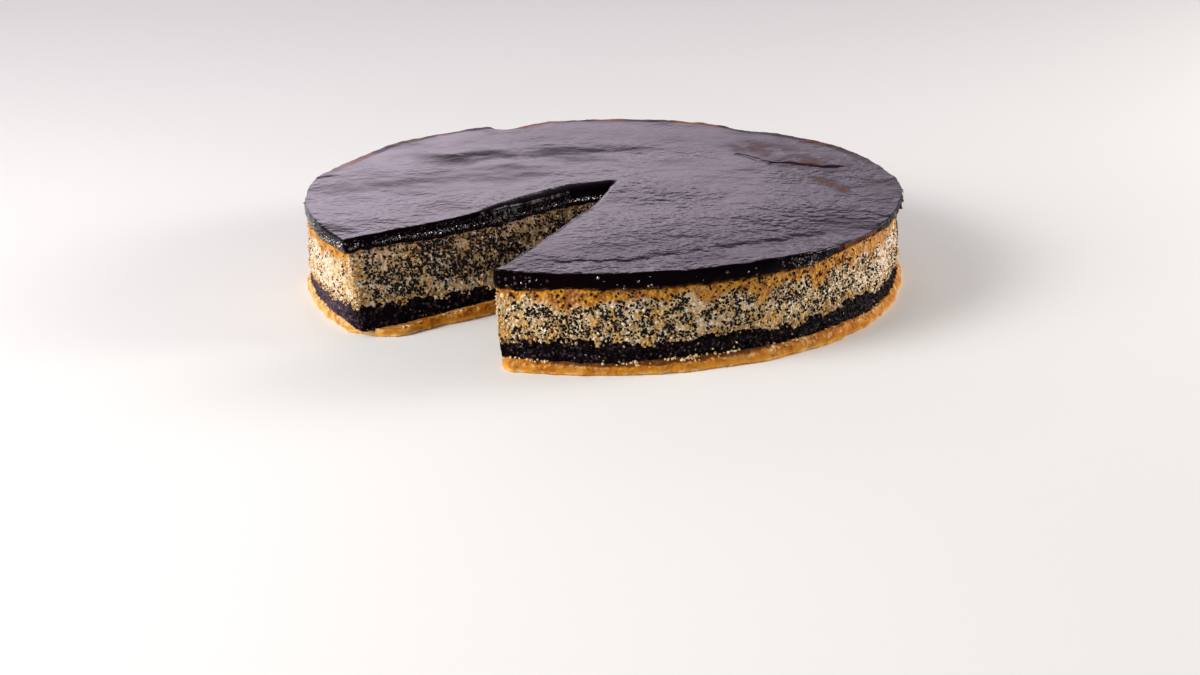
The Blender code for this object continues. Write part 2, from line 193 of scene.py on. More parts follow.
def glaze_face(x, y):
    """The cake's top: 37.7 mm, hanging at the right front, where the glaze ran thin."""
    radius, angle = polar(x, y)
    edge = waves(angle, (9, 0.22, 120.0), (5, 0.2, 20.0)) + humps(angle, *RIM_DIPS)
    droop = outer_part(radius, 0.5, 1.0) * humps(angle, (-1.7, 318.0, 22.0))
    painted_hollow_shade = 0.22 * dimples(x, y, (17.0, 12.0), (0.6, 1.1))
    return CAKE_TOP + painted_hollow_shade + outer_part(radius, 0.86, 1.0) * edge + droop


for joint in (base_joint, dark_joint, filling_joint, glaze_face):
    height = joint(np.array([119.0]), np.array([0.0])).round(2)
    print(joint.__name__, "at the right rim:", height, "mm")

# %% [markdown]
# ## The side of a layer
# The side of a layer is a strip that starts where the two cuts meet, goes out along the right
# cut, all the way round the rim and back in along the left cut. A point of the strip has two
# parameters: its place along the strip, and its rise from the layer's foot to its top. A cut is
# a ruled surface: its plan line at the foot and at the top are blended by height, and its outer
# end is carried on until it meets the rim.

# %% Strips round a layer
def cut_wall(cut, share, height, radius):
    """Plan points of a cut: share 0 is where the cuts meet, 1 is at the rim.

    corners(height) = foot + height / CAKE_TOP * (top - foot); the outermost corner moves along
    its own line to the given radius; a point is the sum of corners times hat functions of share.
    """
    top, foot = np.array(cut["top"]), np.array(cut["foot"])
    corners = foot + (height / CAKE_TOP)[..., None, None] * (top - foot)
    away = corners[..., 0, :] - corners[..., 1, :]
    away = away / np.linalg.norm(away, axis=-1, keepdims=True)
    inner = corners[..., 1, :] - TIN_AXIS
    along = np.sum(away * inner, axis=-1)
    reach = np.sqrt(along ** 2 - np.sum(inner ** 2, axis=-1) + radius ** 2) - along
    corners[..., 0, :] = corners[..., 1, :] + reach[..., None] * away
    lengths = np.linalg.norm(np.diff(foot[::-1], axis=0), axis=1)
    knots = np.concatenate([[0.0], np.cumsum(lengths)]) / lengths.sum()
    hats = np.eye(len(knots))[::-1]
    weights = np.stack([np.interp(share, knots, hat) for hat in hats], axis=-1)
    return np.sum(weights[..., None] * corners, axis=-2)


RIGHT_CORNER, LEFT_CORNER = 250.0, 216.0     # degrees, a first guess of where the cuts end


def strip(rise, cuts, rim, low, top, cut_steps, rim_steps):
    """x, y, z of a layer's side, rows by rise, columns along the strip (a closed loop).

    z = low + rise * (top - low), where low and top are read at the point itself; as the cuts
    lean, the point and its height are worked out in turns, three times.
    """
    rise = rise[:, None]
    steps = 2 * cut_steps + rim_steps
    out = np.arange(cut_steps) / cut_steps
    round_share = np.arange(rim_steps) / rim_steps
    z = np.full((rise.shape[0], steps), 0.5 * CAKE_TOP)
    first, last = slice(0, cut_steps), slice(cut_steps + rim_steps, steps)
    middle = slice(cut_steps, cut_steps + rim_steps)
    for _ in range(3):
        angles = []
        for cut, height, guess in ((cuts[1], z[:, cut_steps], RIGHT_CORNER),
                                   (cuts[0], z[:, cut_steps + rim_steps], LEFT_CORNER)):
            angle = np.full(height.shape, math.radians(guess))
            for _ in range(2):
                corner = cut_wall(cut, np.ones_like(height), height, rim(angle, rise[:, 0]))
                angle = bearing(corner) % math.tau
            angles.append(angle[:, None])
        turn = angles[0] + round_share * (angles[1] + math.tau - angles[0])
        radius = rim(turn, rise)
        x = np.empty_like(z)
        y = np.empty_like(z)
        x[:, middle] = TIN_AXIS[0] + radius * np.cos(turn)
        y[:, middle] = TIN_AXIS[1] + radius * np.sin(turn)
        for cut, share, part, angle in ((cuts[1], out, first, angles[0]),
                                        (cuts[0], 1.0 - out, last, angles[1])):
            height = z[:, part]
            walls = cut_wall(cut, np.broadcast_to(share, height.shape), height, rim(angle, rise))
            x[:, part], y[:, part] = walls[..., 0], walls[..., 1]
        z = low(x, y) + rise * (top(x, y) - low(x, y))
    return np.stack([x, y, z], axis=-1)


def outward(points, reach):
    """Plan direction out of the cake at each point: the strip's direction turned to its right."""
    ahead = np.roll(points, -reach, axis=1) - np.roll(points, reach, axis=1)
    away = np.stack([ahead[..., 1], -ahead[..., 0], np.zeros(ahead.shape[:-1])], axis=-1)
    return away / np.linalg.norm(away, axis=-1, keepdims=True)


for label, cut in (("left", LEFT_CUT), ("right", RIGHT_CUT)):
    print("second corner of the", label, "cut: from top to foot it moves",
          round(math.dist(cut["top"][1], cut["foot"][1]), 1), "mm in plan")

# %% [markdown]
# ## From strip to closed skin
# A layer needs a top and an underside too. Rings that shrink from the strip's edge towards one
# point, the heart, make both. The heart has to see the whole edge, also past the corner where
# the cuts meet, so it lies well behind that corner. The rows of points then become quads, and
# the two ends close with triangles.

# %% Caps and meshes
HEART = np.array([38.0, 66.0])
LEAST_TURN = 2e-6       # radians that each step along an edge goes on at least


def rings(edge, shares, height):
    """Rows of points from the heart to the edge: heart + share * (edge - heart), at height(x, y).

    Where the ragged edge runs nearly towards the heart, its direction seen from there would swing
    back and forth. The mean of its running maximum and minimum never does, so no face folds over.
    """
    away = edge[:, :2] - HEART
    turn = np.unwrap(np.arctan2(away[:, 1], away[:, 0]))
    steady = LEAST_TURN * np.arange(len(turn))
    forth = np.maximum.accumulate(turn - steady)
    back = np.minimum.accumulate((turn - steady)[::-1])[::-1]
    turn = 0.5 * (forth + back) + steady
    reach = np.linalg.norm(away, axis=1)
    away = reach[:, None] * np.stack([np.cos(turn), np.sin(turn)], axis=1)
    plan = HEART + shares[:, None, None] * away
    return np.concatenate([plan, height(plan[..., 0], plan[..., 1])[..., None]], axis=-1)


def put_mesh(name, points, faces):
    """Mesh object from points in mm and a list of (n, corners) index arrays."""
    mesh = bpy.data.meshes.new(name)
    mesh.vertices.add(len(points))
    mesh.vertices.foreach_set("co", (np.asarray(points) * MM).astype(np.float32).ravel())
    sizes = np.concatenate([np.full(len(f), f.shape[1]) for f in faces])
    corners = np.concatenate([f.ravel() for f in faces]).astype(np.int32)
    mesh.loops.add(len(corners))
    mesh.loops.foreach_set("vertex_index", corners)
    mesh.polygons.add(len(sizes))
    starts = np.concatenate([[0], np.cumsum(sizes)[:-1]]).astype(np.int32)
    mesh.polygons.foreach_set("loop_start", starts)
    mesh.update(calc_edges=True)
    mesh.validate()
    mesh.shade_smooth()
    piece = bpy.data.objects.new(name, mesh)
    bpy.context.scene.collection.objects.link(piece)
    print(name, len(points), "points,", int((sizes - 2).sum()), "triangles")
    return piece


def skin(name, rows):
    """Closed surface through rows of points, from the underside's heart to the top's heart."""
    count, steps = rows.shape[:2]
    low = np.append(HEART, rows[0, :, 2].mean())
    top = np.append(HEART, rows[-1, :, 2].mean())
    points = np.concatenate([rows.reshape(-1, 3), [low, top]])
    number = np.arange(count * steps).reshape(count, steps)
    after = np.roll(number, -1, axis=1)
    quads = np.stack([number[:-1], after[:-1], after[1:], number[1:]], axis=-1).reshape(-1, 4)
    under, over = count * steps, count * steps + 1
    ends = np.concatenate([
        np.stack([after[0], number[0], np.full(steps, under)], axis=-1),
        np.stack([number[-1], after[-1], np.full(steps, over)], axis=-1)])
    return put_mesh(name, points, [quads, ends])


def mark(piece, name, side_values, rows_below=0, rows_above=0, top=0.0):
    """A number at each point of a skin, for its finish.

    The side's first and last rows are repeated over the rows of the caps; then come 0 for the
    heart of the underside and the number top for the heart above.
    """
    rows = np.concatenate([np.repeat(side_values[:1], rows_below, axis=0), side_values,
                           np.repeat(side_values[-1:], rows_above, axis=0)])
    values = np.append(rows, [0.0, top]).astype(np.float32)
    piece.data.attributes.new(name, "FLOAT", "POINT").data.foreach_set("value", values)


print("rings shrink towards", HEART, "mm")

# %% [markdown]
# ## Pastry base
# Shortcrust, 5 mm thick, sticks out below the cake as a ledge. Its side is fairly smooth, its
# upper edge is rounded and nibbled, and both corners at the gap broke off. Where it broke it is
# rougher. How much painted shade the ledge gets, darkest where it lies under the dark layer at
# the front, goes into a number on each point.

# %% Pastry base
BASE_CUT_STEPS, BASE_RIM_STEPS = 230, 1200


def rise_of(steps, shoulder):
    """Rows from foot to top: evenly up the side, with more rows over the shoulder."""
    return np.concatenate([np.linspace(0.0, 1.0 - shoulder, steps, endpoint=False),
                           np.linspace(1.0 - shoulder, 1.0, steps // 2)])


def base_rim(angle, rise):
    """120.9 mm, leaning in by 0.9 mm over its upper half, with ripples that grow upwards."""
    lean = 0.9 * swell(rise, 0.5, 1.0)
    return BASE_RADIUS - lean + rise * waves(angle, (17, 0.35, 60.0), (7, 0.3, 0.0))


def eased(points, turns):
    """Corners rounded off: each point becomes (before + 2 * itself + after) / 4, several times."""
    for _ in range(turns):
        points = 0.25 * (np.roll(points, 1, axis=1) + 2.0 * points + np.roll(points, -1, axis=1))
    return points


EASING = 60     # turns, enough to round the broken corners
base_rise = rise_of(14, 0.3)
base_strip = strip(base_rise, BROKEN, base_rim, underside, base_joint,
                   BASE_CUT_STEPS, BASE_RIM_STEPS)
base_strip = eased(base_strip, EASING)
x, y, z = np.moveaxis(base_strip, -1, 0)
nibbled = (0.75 * crumbs_of(x, y, z, 2.6, 9.0)
           + 1.3 * np.minimum(lumps(x, y, 0.6 * z, 5.5, 4.0), 0.0))
shoulder = swell(base_rise, 0.55, 1.0)[:, None]
on_break = np.ones(base_strip.shape[1])
on_break[BASE_CUT_STEPS:-BASE_CUT_STEPS] = 0.0
relief = (0.5 * crumbs_of(x, y, z, 3.4, 1.7) + 0.8 * lumps(x, y, 0.4 * z, 9.0, 15.0)
          + humps(bearing(base_strip), (0.8, 312.0, 30.0), (-1.5, 203.0, 16.0))
          + 0.45 * lumps(x, y, 0.7 * z, 4.4, 19.0) + shoulder * nibbled - 0.35 * shoulder ** 3
          + on_break * (1.1 * crumbs_of(x, y, 0.5 * z, 7.0, 6.0) + 0.3))
foot_round = 0.5 * (1.0 - swell(base_rise, 0.0, 0.16))[:, None]
base_side = base_strip + outward(base_strip, 3) * (relief - foot_round)[..., None]
base_side[..., 2] = base_strip[..., 2] + 0.5 * shoulder * crumbs_of(x, y, z, 2.6, 8.0)
base_side[0, :, 2] = 0.0


def base_crown(x, y):
    """The base's upper face: the joint with a fine grain."""
    return base_joint(x, y) + 0.12 * crumbs_of(x, y, 0.0, 1.8, 12.0)


base_low = np.array([0.3, 0.7, 0.97])
base_high = np.array([0.995, 0.985, 0.97, 0.95, 0.7, 0.3])
pastry_base = skin("pastry_base_baked", np.concatenate([
    rings(base_side[0], base_low, underside), base_side,
    rings(base_side[-1], base_high, base_crown)]))
# Painted shade on the ledge, darkest at the front, where it lies under the dark layer.
ledge_shade_share = (1.0 - 0.35 * on_break) * (0.1 + humps(bearing(base_side[0]), (0.9, 279.0, 30.0)))
ledge_shade_rows = np.concatenate([np.zeros((len(base_low), base_side.shape[1])),
                             1.3 * shoulder * ledge_shade_share,
                             np.tile(1.7 * ledge_shade_share, (len(base_high), 1))])
mark(pastry_base, "ledge", ledge_shade_rows, top=2.0)
ledge_reach = polar(*np.moveaxis(base_side[..., :2], -1, 0))[0].max()
print("ledge at", round(float(ledge_reach), 1), "mm")

# %% [markdown]
# ## Dark crumb layer
# A damp, almost black crumb, 7 mm thick, that crumbled where the tin and the knife passed. Its
# side is a field of small grains. Grains are lumps of about a millimetre whose hollows are
# deeper than their crests are high, so the surface reads as packed crumbs, not as waves.

# %% Dark crumb layer
DARK_CUT_STEPS, DARK_RIM_STEPS = 260, 1400


def dark_rim(angle, rise):
    """118.4 mm, 0.4 mm wider at the foot, and 1.3 mm wider there by the left cut."""
    foot = (0.4 + humps(angle, (0.9, 215.0, 25.0))) * (1.0 - rise)
    return DARK_RADIUS + foot + waves(angle, (19, 0.25, 5.0), (8, 0.25, 80.0))


def grains(x, y, z, size, shift):
    """Rounded crests with narrow hollows between them: 1 - |lumps| over two sizes."""
    large = 1.0 - 2.0 * np.abs(lumps(x, y, z, size, shift))
    small = 1.0 - 2.0 * np.abs(lumps(x, y, z, 0.5 * size, shift + 5.5))
    return 0.65 * large + 0.35 * small


dark_rise = np.linspace(0.0, 1.0, 17)
dark_strip = strip(dark_rise, KNIFE, dark_rim, base_joint, dark_joint,
                   DARK_CUT_STEPS, DARK_RIM_STEPS)
x, y, z = np.moveaxis(dark_strip, -1, 0)
relief = 0.42 * grains(x, y, z, 1.9, 2.5) + 0.4 * lumps(x, y, z, 5.0, 8.0) - 0.25
dark_side = dark_strip + outward(dark_strip, 3) * relief[..., None]
dark_crumb = skin("dark_crumb_baked", np.concatenate([
    rings(dark_side[0], np.array([0.3, 0.8]), base_joint), dark_side,
    rings(dark_side[-1], np.array([0.99, 0.97, 0.6, 0.3]), dark_joint)]))

# %% [markdown]
# ## Cheesecake filling
# The filling is a baked curd, 20 mm thick. Against the tin it baked golden under the glaze, and
# golden streaks ran down from there. Where it was cut it is crumbly: lumps of curd two to four
# millimetres across stand out and small pits lie between them, and along the two outer corners
# a ridge of curd stayed free of seeds. What depends on the layer's edges is worked out here, on
# the points of the surface, and the finish reads it there as numbers: golden, honey-coloured
# patches, the two ends of the rim that are painted paler as lit parts, on the rim or on a cut,
# and the rise.

# %% Cheesecake filling
CUT_STEPS, RIM_STEPS = 270, 1400
FILLING_SHARES = np.array([0.3, 0.8, 0.99])
FILLING_CAPS = {"rows_below": len(FILLING_SHARES), "rows_above": len(FILLING_SHARES)}


def filling_rim(angle, rise):
    """119 mm, drawn in by up to 1.6 mm under the glaze at the right, with small ripples."""
    pinch = swell(rise, 0.3, 0.9) * humps(angle, (-1.6, 2.0, 40.0))
    return FILLING_RADIUS + pinch + waves(angle, (10, 0.2, 15.0), (23, 0.12, 70.0))


filling_rise = np.linspace(0.0, 1.0, 41)
filling_strip = strip(filling_rise, KNIFE, filling_rim, dark_joint, filling_joint,
                      CUT_STEPS, RIM_STEPS)
x, y, z = np.moveaxis(filling_strip, -1, 0)
angle = bearing(filling_strip)
number = np.arange(filling_strip.shape[1])
on_rim = np.where((number >= CUT_STEPS) & (number < CUT_STEPS + RIM_STEPS), 1.0, 0.0)
past_corner = np.minimum(np.abs(number - CUT_STEPS), np.abs(number - CUT_STEPS - RIM_STEPS)) * 0.5
corner_lump = 1.0 - swell(past_corner + 3.0 * lumps(x, y, z, 4.0, 21.0), 2.5, 6.5)

streak = (4.0 + 3.6 * lumps(x, y, 0.25 * z, 3.6, 4.0)
          + humps(angle, (2.2, 322.0, 45.0), (3.0, 204.0, 26.0), (2.6, 334.0, 22.0))
          + 18.0 * np.maximum(lumps(x, y, 0.12 * z, 7.0, 9.0) - 0.15, 0.0))
golden = 1.0 - swell(filling_strip[-1, :, 2] - z, 0.55 * streak, streak + 0.8)
golden_corner = 0.85 * corner_lump * swell(lumps(x, y, z, 3.0, 2.0), -0.3, 0.1)
golden = np.maximum(golden * (0.45 + 0.55 * on_rim), golden_corner)

honey = swell(crumbs_of(x, y, 0.8 * z, 6.0, 31.0), 0.12, 0.3) * (0.55 + 0.45 * on_rim)
curd = 0.34 * crumbs_of(x, y, z, 3.4, 3.0) + 0.2 * lumps(x, y, z, 1.3, 6.0)
pits = np.maximum(-lumps(x, y, z, 1.6, 13.0) - 0.42, 0.0)
crumbly = 1.0 + 0.6 * (1.0 - on_rim)
relief = crumbly * (curd * (1.0 - 0.45 * golden * on_rim) - pits * (1.0 - 0.7 * golden * on_rim))
filling_side = filling_strip + outward(filling_strip, 3) * relief[..., None]
filling = skin("cheesecake_filling_baked", np.concatenate([
    rings(filling_side[0], FILLING_SHARES, dark_joint), filling_side,
    rings(filling_side[-1], FILLING_SHARES[::-1], filling_joint)]))

# Painted light: the two ends of the rim, where the light falls most, are painted paler; seeds are
# sparser there too.
pale = np.clip(humps(angle, (0.8, 198.0, 30.0), (1.0, 338.0, 28.0)), 0.0, 1.0) * on_rim
for name, values, top in (("golden", golden, 1.0), ("honey", honey, 0.0), ("pale", pale, 0.0),
                          ("on_rim", on_rim, 0.0), ("rise", filling_rise[:, None], 1.0)):
    mark(filling, name, np.broadcast_to(values, golden.shape), **FILLING_CAPS, top=top)
print("golden on", round(100 * float((golden > 0.5).mean())), "% of the side")

# %% [markdown]
# ## Plum glaze
# The glaze is a clear jelly, 6 mm thick on most of the cake. Its shoulder is tight at the rim and
# at the outer end of the left cut, and soft on the rest of the cuts. At the back the glaze lies
# lower in places and the filling's golden edge shines through, and one lip there ends abruptly.
# Its side is a strip as before; then come the rows of the shoulder, a quarter of an ellipse
# carried along the edge, and then rings that cover the top.

# %% Plum glaze
GLAZE_CUT_STEPS, GLAZE_RIM_STEPS = 130, 640


def glaze_rim(angle, rise):
    """120 mm at the top and 0.6 mm less at the foot, with small ripples."""
    return GLAZE_RADIUS - 0.6 * (1.0 - rise) + waves(angle, (12, 0.2, 140.0), (27, 0.1, 33.0))


def sinking(x, y):
    """1.2 mm at the outer half of the left cut, fading along it and 30 mm to each side."""
    start, end = LEFT_CUT["top"][:2]
    right, up, length = end[0] - start[0], end[1] - start[1], math.dist(start, end)
    along = ((x - start[0]) * right + (y - start[1]) * up) / length
    apart = np.abs((y - start[1]) * right - (x - start[0]) * up) / length
    return 1.2 * (1.0 - swell(along, 45.0, 75.0)) * (1.0 - swell(apart, 0.0, 30.0))


def glaze_top(x, y):
    """The cake's top with a notch and a ragged edge at the rim, and hills of 7 and 16 mm."""
    radius, angle = polar(x, y)
    degrees = np.degrees(angle)
    notch = -1.0 * swell(degrees, 108.0, 113.5) * (1.0 - swell(degrees, 114.3, 115.4))
    ragged = 0.45 * crumbs_of(x, y, 0.0, 5.5, 14.0)
    hills = (0.10 * lumps(0.7 * x, y, 0.0, 7.0, 3.0)
             + 0.16 * lumps(0.6 * x, y, 0.0, 16.0, 8.0))
    return (glaze_face(x, y) + hills + outer_part(radius, 0.93, 0.995) * (notch + ragged)
            - sinking(x, y))


wall_rise = np.linspace(0.0, 1.0, 9)
glaze_strip = strip(wall_rise, KNIFE, glaze_rim, filling_joint, glaze_top,
                    GLAZE_CUT_STEPS, GLAZE_RIM_STEPS)
number = np.arange(glaze_strip.shape[1])
right_corner, left_corner = GLAZE_CUT_STEPS, GLAZE_CUT_STEPS + GLAZE_RIM_STEPS
past_corner = np.minimum(np.abs(number - right_corner), np.abs(number - left_corner)).astype(float)
on_cut = np.where((number < right_corner) | (number > left_corner), 1.0, 0.0)
thick = glaze_strip[-1, :, 2] - glaze_strip[0, :, 2]
softness_left = swell(past_corner, 45.0, 92.0) * (1.35 - 0.35 * swell(past_corner, 112.0, 128.0))
softness = np.where(number > left_corner, softness_left, swell(past_corner, 0.0, 14.0))
inset = 0.75 + on_cut * (2.6 * softness - 0.1)
drop = np.minimum(0.8 + on_cut * 2.2 * np.minimum(softness, 1.0), 0.5 * thick)

away = outward(glaze_strip, 2)
x, y, z = np.moveaxis(glaze_strip, -1, 0)
uneven = 0.22 * crumbs_of(x, y, z, 2.6, 11.0) + 0.4 * lumps(x, y, z, 7.0, 1.0)
bulge = 0.45 * np.sin(math.pi * wall_rise)[:, None] * (1.0 - on_cut)
wall = glaze_strip + away * (uneven + bulge)[..., None]
wall[..., 2] = glaze_strip[0, :, 2] + wall_rise[:, None] * (thick - drop)

bend = np.linspace(0.0, 0.5 * math.pi, 8)[1:, None]
shoulder_rows = wall[-1] - away[-1] * (inset * (1.0 - np.cos(bend)))[..., None]
shoulder_rows[..., 2] = (glaze_top(shoulder_rows[..., 0], shoulder_rows[..., 1])
                         - drop * (1.0 - np.sin(bend)))
foot_shares = np.array([0.3, 0.8, 0.97])
top_shares = 1.0 - np.linspace(0.0, 0.985, 78)[1:] ** 0.97
glaze = skin("plum_glaze_set", np.concatenate([
    rings(wall[0], foot_shares, filling_joint), wall, shoulder_rows,
    rings(shoulder_rows[-1], top_shares, glaze_top)]))
print("glaze from", round(float(thick.min()), 1), "to", round(float(thick.max()), 1), "mm thick")

# %% [markdown]
# The finish of the glaze reads three numbers: how wet the cut face is, where the rim is so thin
# that the filling shows through, and the height, from 0 at the foot to 1 on the flat top.

# %% Numbers for the glaze's finish
wet = on_cut * (1.0 - swell(wall_rise, 0.8, 1.0))[:, None]
thin_rim = (1.0 - swell(thick, 2.2, 3.8)) * (1.0 - on_cut)
over_wall, over_shoulder = np.ones_like(wet), np.ones(shoulder_rows.shape[:2])
for name, on_wall, on_shoulder, top in (
        ("wet", wet, 0.0 * over_shoulder, 0.0),
        ("thin_rim", thin_rim * over_wall, np.cos(bend) * thin_rim, 0.0),
        ("height", 0.6 * wall_rise[:, None] * over_wall,
         (0.6 + 0.4 * np.sin(bend)) * over_shoulder, 1.0)):
    mark(glaze, name, np.concatenate([on_wall, on_shoulder]), len(foot_shares), len(top_shares),
         top)
print("thin rim on", round(100 * float((thin_rim > 0.5).mean())), "% of the edge")

# %% [markdown]
# ## Small bodies
# Seeds, beads and crumbs are small bodies in great numbers. Their places are drawn at random on a
# side, kept by a density, and thinned to one for each small cube so that few overlap. All bodies
# of a kind are one mesh, made in one go as an array.

# %% Scatter small bodies on a surface
def twenty_faces():
    """The twelve corners and twenty faces of an icosahedron with unit radius.

    Its corners are those of three plates with sides 1 and (1 + sqrt(5)) / 2, one for each axis.
    """
    wide = (1.0 + math.sqrt(5.0)) / 2.0
    plate = np.array([(-1, wide, 0), (1, wide, 0), (-1, -wide, 0), (1, -wide, 0)])
    corners = np.concatenate([np.roll(plate, turn, axis=1) for turn in range(3)])
    faces = np.array([(0, 11, 5), (0, 5, 1), (0, 1, 7), (0, 7, 10), (0, 10, 11),
                      (1, 5, 9), (5, 11, 4), (11, 10, 2), (10, 7, 6), (7, 1, 8),
                      (3, 9, 4), (3, 4, 2), (3, 2, 6), (3, 6, 8), (3, 8, 9),
                      (4, 9, 5), (2, 4, 11), (6, 2, 10), (8, 6, 7), (9, 8, 1)])
    return corners / np.linalg.norm(corners[0]), faces


def twelve_faces():
    """A ring of six corners and two tips: the plainest body that still looks round when small."""
    ring = np.radians(60.0 * np.arange(6))
    corners = np.stack([np.cos(ring), np.sin(ring), np.zeros(6)], axis=1)
    here, after = np.arange(6), np.roll(np.arange(6), -1)
    faces = np.concatenate([np.stack([here, after, np.full(6, 6)], axis=1),
                            np.stack([after, here, np.full(6, 7)], axis=1)])
    return np.concatenate([corners, [(0.0, 0.0, 1.0), (0.0, 0.0, -1.0)]]), faces


def bodies(name, shape, middles, normals, sizes, chance, ragged):
    """One mesh of many squashed bodies: each is turned at random about its normal.

    corner = middle + size_x * u * tangent + size_y * v * side + size_z * w * normal, where
    (u, v, w) is the shape's corner, moved in or out at random by the share ragged.
    """
    corners, faces = shape
    count = len(middles)
    turn = chance.uniform(0.0, math.tau, count)
    helper = np.where(np.abs(normals[:, 2:]) < 0.9, [[0.0, 0.0, 1.0]], [[1.0, 0.0, 0.0]])
    tangent = np.cross(helper, normals)
    tangent = tangent / np.linalg.norm(tangent, axis=1, keepdims=True)
    side = np.cross(normals, tangent)
    turned = np.cos(turn)[:, None] * tangent + np.sin(turn)[:, None] * side
    axes = np.stack([turned, np.cross(normals, turned), normals], axis=1)
    uneven = 1.0 + ragged * chance.uniform(-1.0, 1.0, (count, len(corners), 1))
    local = corners[None] * uneven * sizes[:, None, :]
    points = middles[:, None, :] + np.einsum("nki,nij->nkj", local, axes)
    numbered = faces[None] + len(corners) * np.arange(count)[:, None, None]
    return put_mesh(name, points.reshape(-1, 3), [numbered.reshape(-1, 3)])


def facing(side):
    """Unit normal at each point of a side, from its neighbours along and up the strip."""
    ahead = np.roll(side, -1, axis=1) - np.roll(side, 1, axis=1)
    normal = np.cross(ahead, np.gradient(side, axis=0))
    return normal / np.linalg.norm(normal, axis=-1, keepdims=True)


TRIES = 12      # places drawn for each one asked for, as many are dropped again


def draw_places(side, density, count, cube, chance, low=0.02, high=0.98):
    """Up to count random points of a side: (row, column) pairs kept with chance = density."""
    rows = chance.uniform(low, high, TRIES * count) * (side.shape[0] - 1)
    columns = chance.uniform(0.0, side.shape[1], TRIES * count)
    near = (rows.round().astype(int), columns.round().astype(int) % side.shape[1])
    kept = chance.uniform(0.0, 1.0, len(rows)) < density[near]
    row, column = rows[kept], columns[kept]
    r0, c0 = row.astype(int), column.astype(int)
    r1, c1 = np.minimum(r0 + 1, side.shape[0] - 1), (c0 + 1) % side.shape[1]
    p, q = (row - r0)[:, None], (column - c0)[:, None]
    points = ((1 - p) * ((1 - q) * side[r0, c0] + q * side[r0, c1])
              + p * ((1 - q) * side[r1, c0] + q * side[r1, c1]))
    cubes = np.floor(points / cube).astype(int)
    _, first = np.unique(cubes, axis=0, return_index=True)
    first = np.sort(first)[:count]
    normals = facing(side)[r0[first], c0[first]]
    return points[first], normals, (r0[first], c0[first])


def random_sizes(count, size, uneven, chance):
    """Half a body's length along its three axes: one size for each body, uneven by axis."""
    return chance.uniform(*size, (count, 1)) * chance.uniform(*uneven, (count, 3))


print("faces of a seed:", len(twelve_faces()[1]), "and of a pastry crumb:", len(twenty_faces()[1]))

# %% [markdown]
# ## Poppy seeds
# A poppy seed is a kidney about a millimetre long. Thousands of them show where the filling was
# cut and, less densely, where it baked against the tin. Each is half sunk into the curd. They
# stand in small clusters, and thin out in the golden streaks and at both ends of the rim, which
# are painted paler as lit parts. The outer corners and a strip along the foot of the left cut
# have next to none.

# %% Poppy seeds
SEED_COUNT = 16600
SEED_SHAPE = np.array([[0.62, 0.48, 0.5]])
chance = np.random.default_rng(5)
x, y, z = np.moveaxis(filling_side, -1, 0)
clusters = 0.60 + 0.7 * crumbs_of(x, y, z, 7.0, 17.0) + 0.9 * lumps(x, y, z, 2.1, 19.0)
clusters = np.maximum(clusters, 0.0) * (1.0 - 0.7 * honey)
thin_left = humps(bearing(filling_side), (0.75, 198.0, 30.0)) * on_rim
rim_density = clusters * (1.0 - 0.8 * golden) * (1.0 - thin_left) * (1.0 - 0.55 * pale) * 0.88
columns = np.arange(filling_side.shape[1])
inwards = np.clip((columns - CUT_STEPS - RIM_STEPS) / CUT_STEPS, 0.0, 1.0)
foot_strip = swell(-filling_rise, -0.22, -0.13)[:, None] * swell(inwards, 0.15, 0.4)
seedless = np.maximum(np.maximum(thin_left, foot_strip), corner_lump)
mark(filling, "seedless", seedless, **FILLING_CAPS)
cut_density = 1.6 * clusters ** 1.5 * (1.0 - 0.1 * golden) * (1.0 - 0.8 * foot_strip)
density = np.clip(on_rim * rim_density + (1.0 - on_rim) * cut_density, 0.0, 1.0)
density = density * (1.0 - 0.75 * corner_lump)
places, normals, at = draw_places(filling_side, density, SEED_COUNT, 0.6, chance)
seed_size = chance.uniform(0.6, 1.2, (len(places), 1)) * SEED_SHAPE
fine = humps(bearing(places), (0.3, 200.0, 30.0), (0.28, 342.0, 30.0))[:, None]
seed_size = seed_size * (1.0 - fine) * (1.14 - 0.14 * on_rim[at[1]])[:, None]
sunk = chance.uniform(-0.12, 0.26, (len(places), 1))
seeds = bodies("poppy_seeds", twelve_faces(), places - normals * sunk, normals, seed_size,
               chance, 0.1)
print(len(places), "seeds,", int((on_rim[at[1]] > 0).sum()), "of them on the rim")

# %% [markdown]
# ## Beads of syrup
# Along the cuts the jelly wept, and a row of tiny beads sits a little below the middle of its cut
# face, with a few more at the rim. They are what glints there: their faces are kept flat, so that
# each one either catches the light or doesn't.

# %% Beads of syrup
BEAD_COUNT = 1500
x, y, z = np.moveaxis(wall, -1, 0)
rise_here = wall_rise[:, None]
row_of_beads = 1.6 * swell(rise_here, 0.28, 0.4) * (1.0 - swell(rise_here, 0.42, 0.54)) * on_cut
at_rim = humps(bearing(wall), (0.13, 256.0, 5.0), (0.3, 306.0, 5.0), (0.15, 357.0, 22.0),
               (0.4, 211.0, 11.0))
beaded = np.clip(row_of_beads * (0.6 + 0.8 * lumps(x, y, z, 5.0, 3.0))
                 + (1.0 - on_cut) * (at_rim * (1.0 + lumps(x, y, z, 4.0, 6.0)) + 0.008), 0.0, 1.0)
places, normals, _ = draw_places(wall, beaded, BEAD_COUNT, 0.55, chance, low=0.1, high=0.9)
bead_size = random_sizes(len(places), (0.25, 0.6), (0.8, 1.25), chance)
beads = bodies("syrup_beads", twelve_faces(), places, normals, bead_size, chance, 0.12)
beads.data.shade_flat()

# %% [markdown]
# ## Crumbs
# Three kinds of crumb finish the edges. Dark crumbs cover the dark layer's side and lap over its
# joints, which a smooth skin can't show, and a few larger ones lie at the right end of the
# glaze's rim. Curd crumbs stand out on the filling, hang over the dark layer in a ragged fringe
# and have spilt over its upper part.

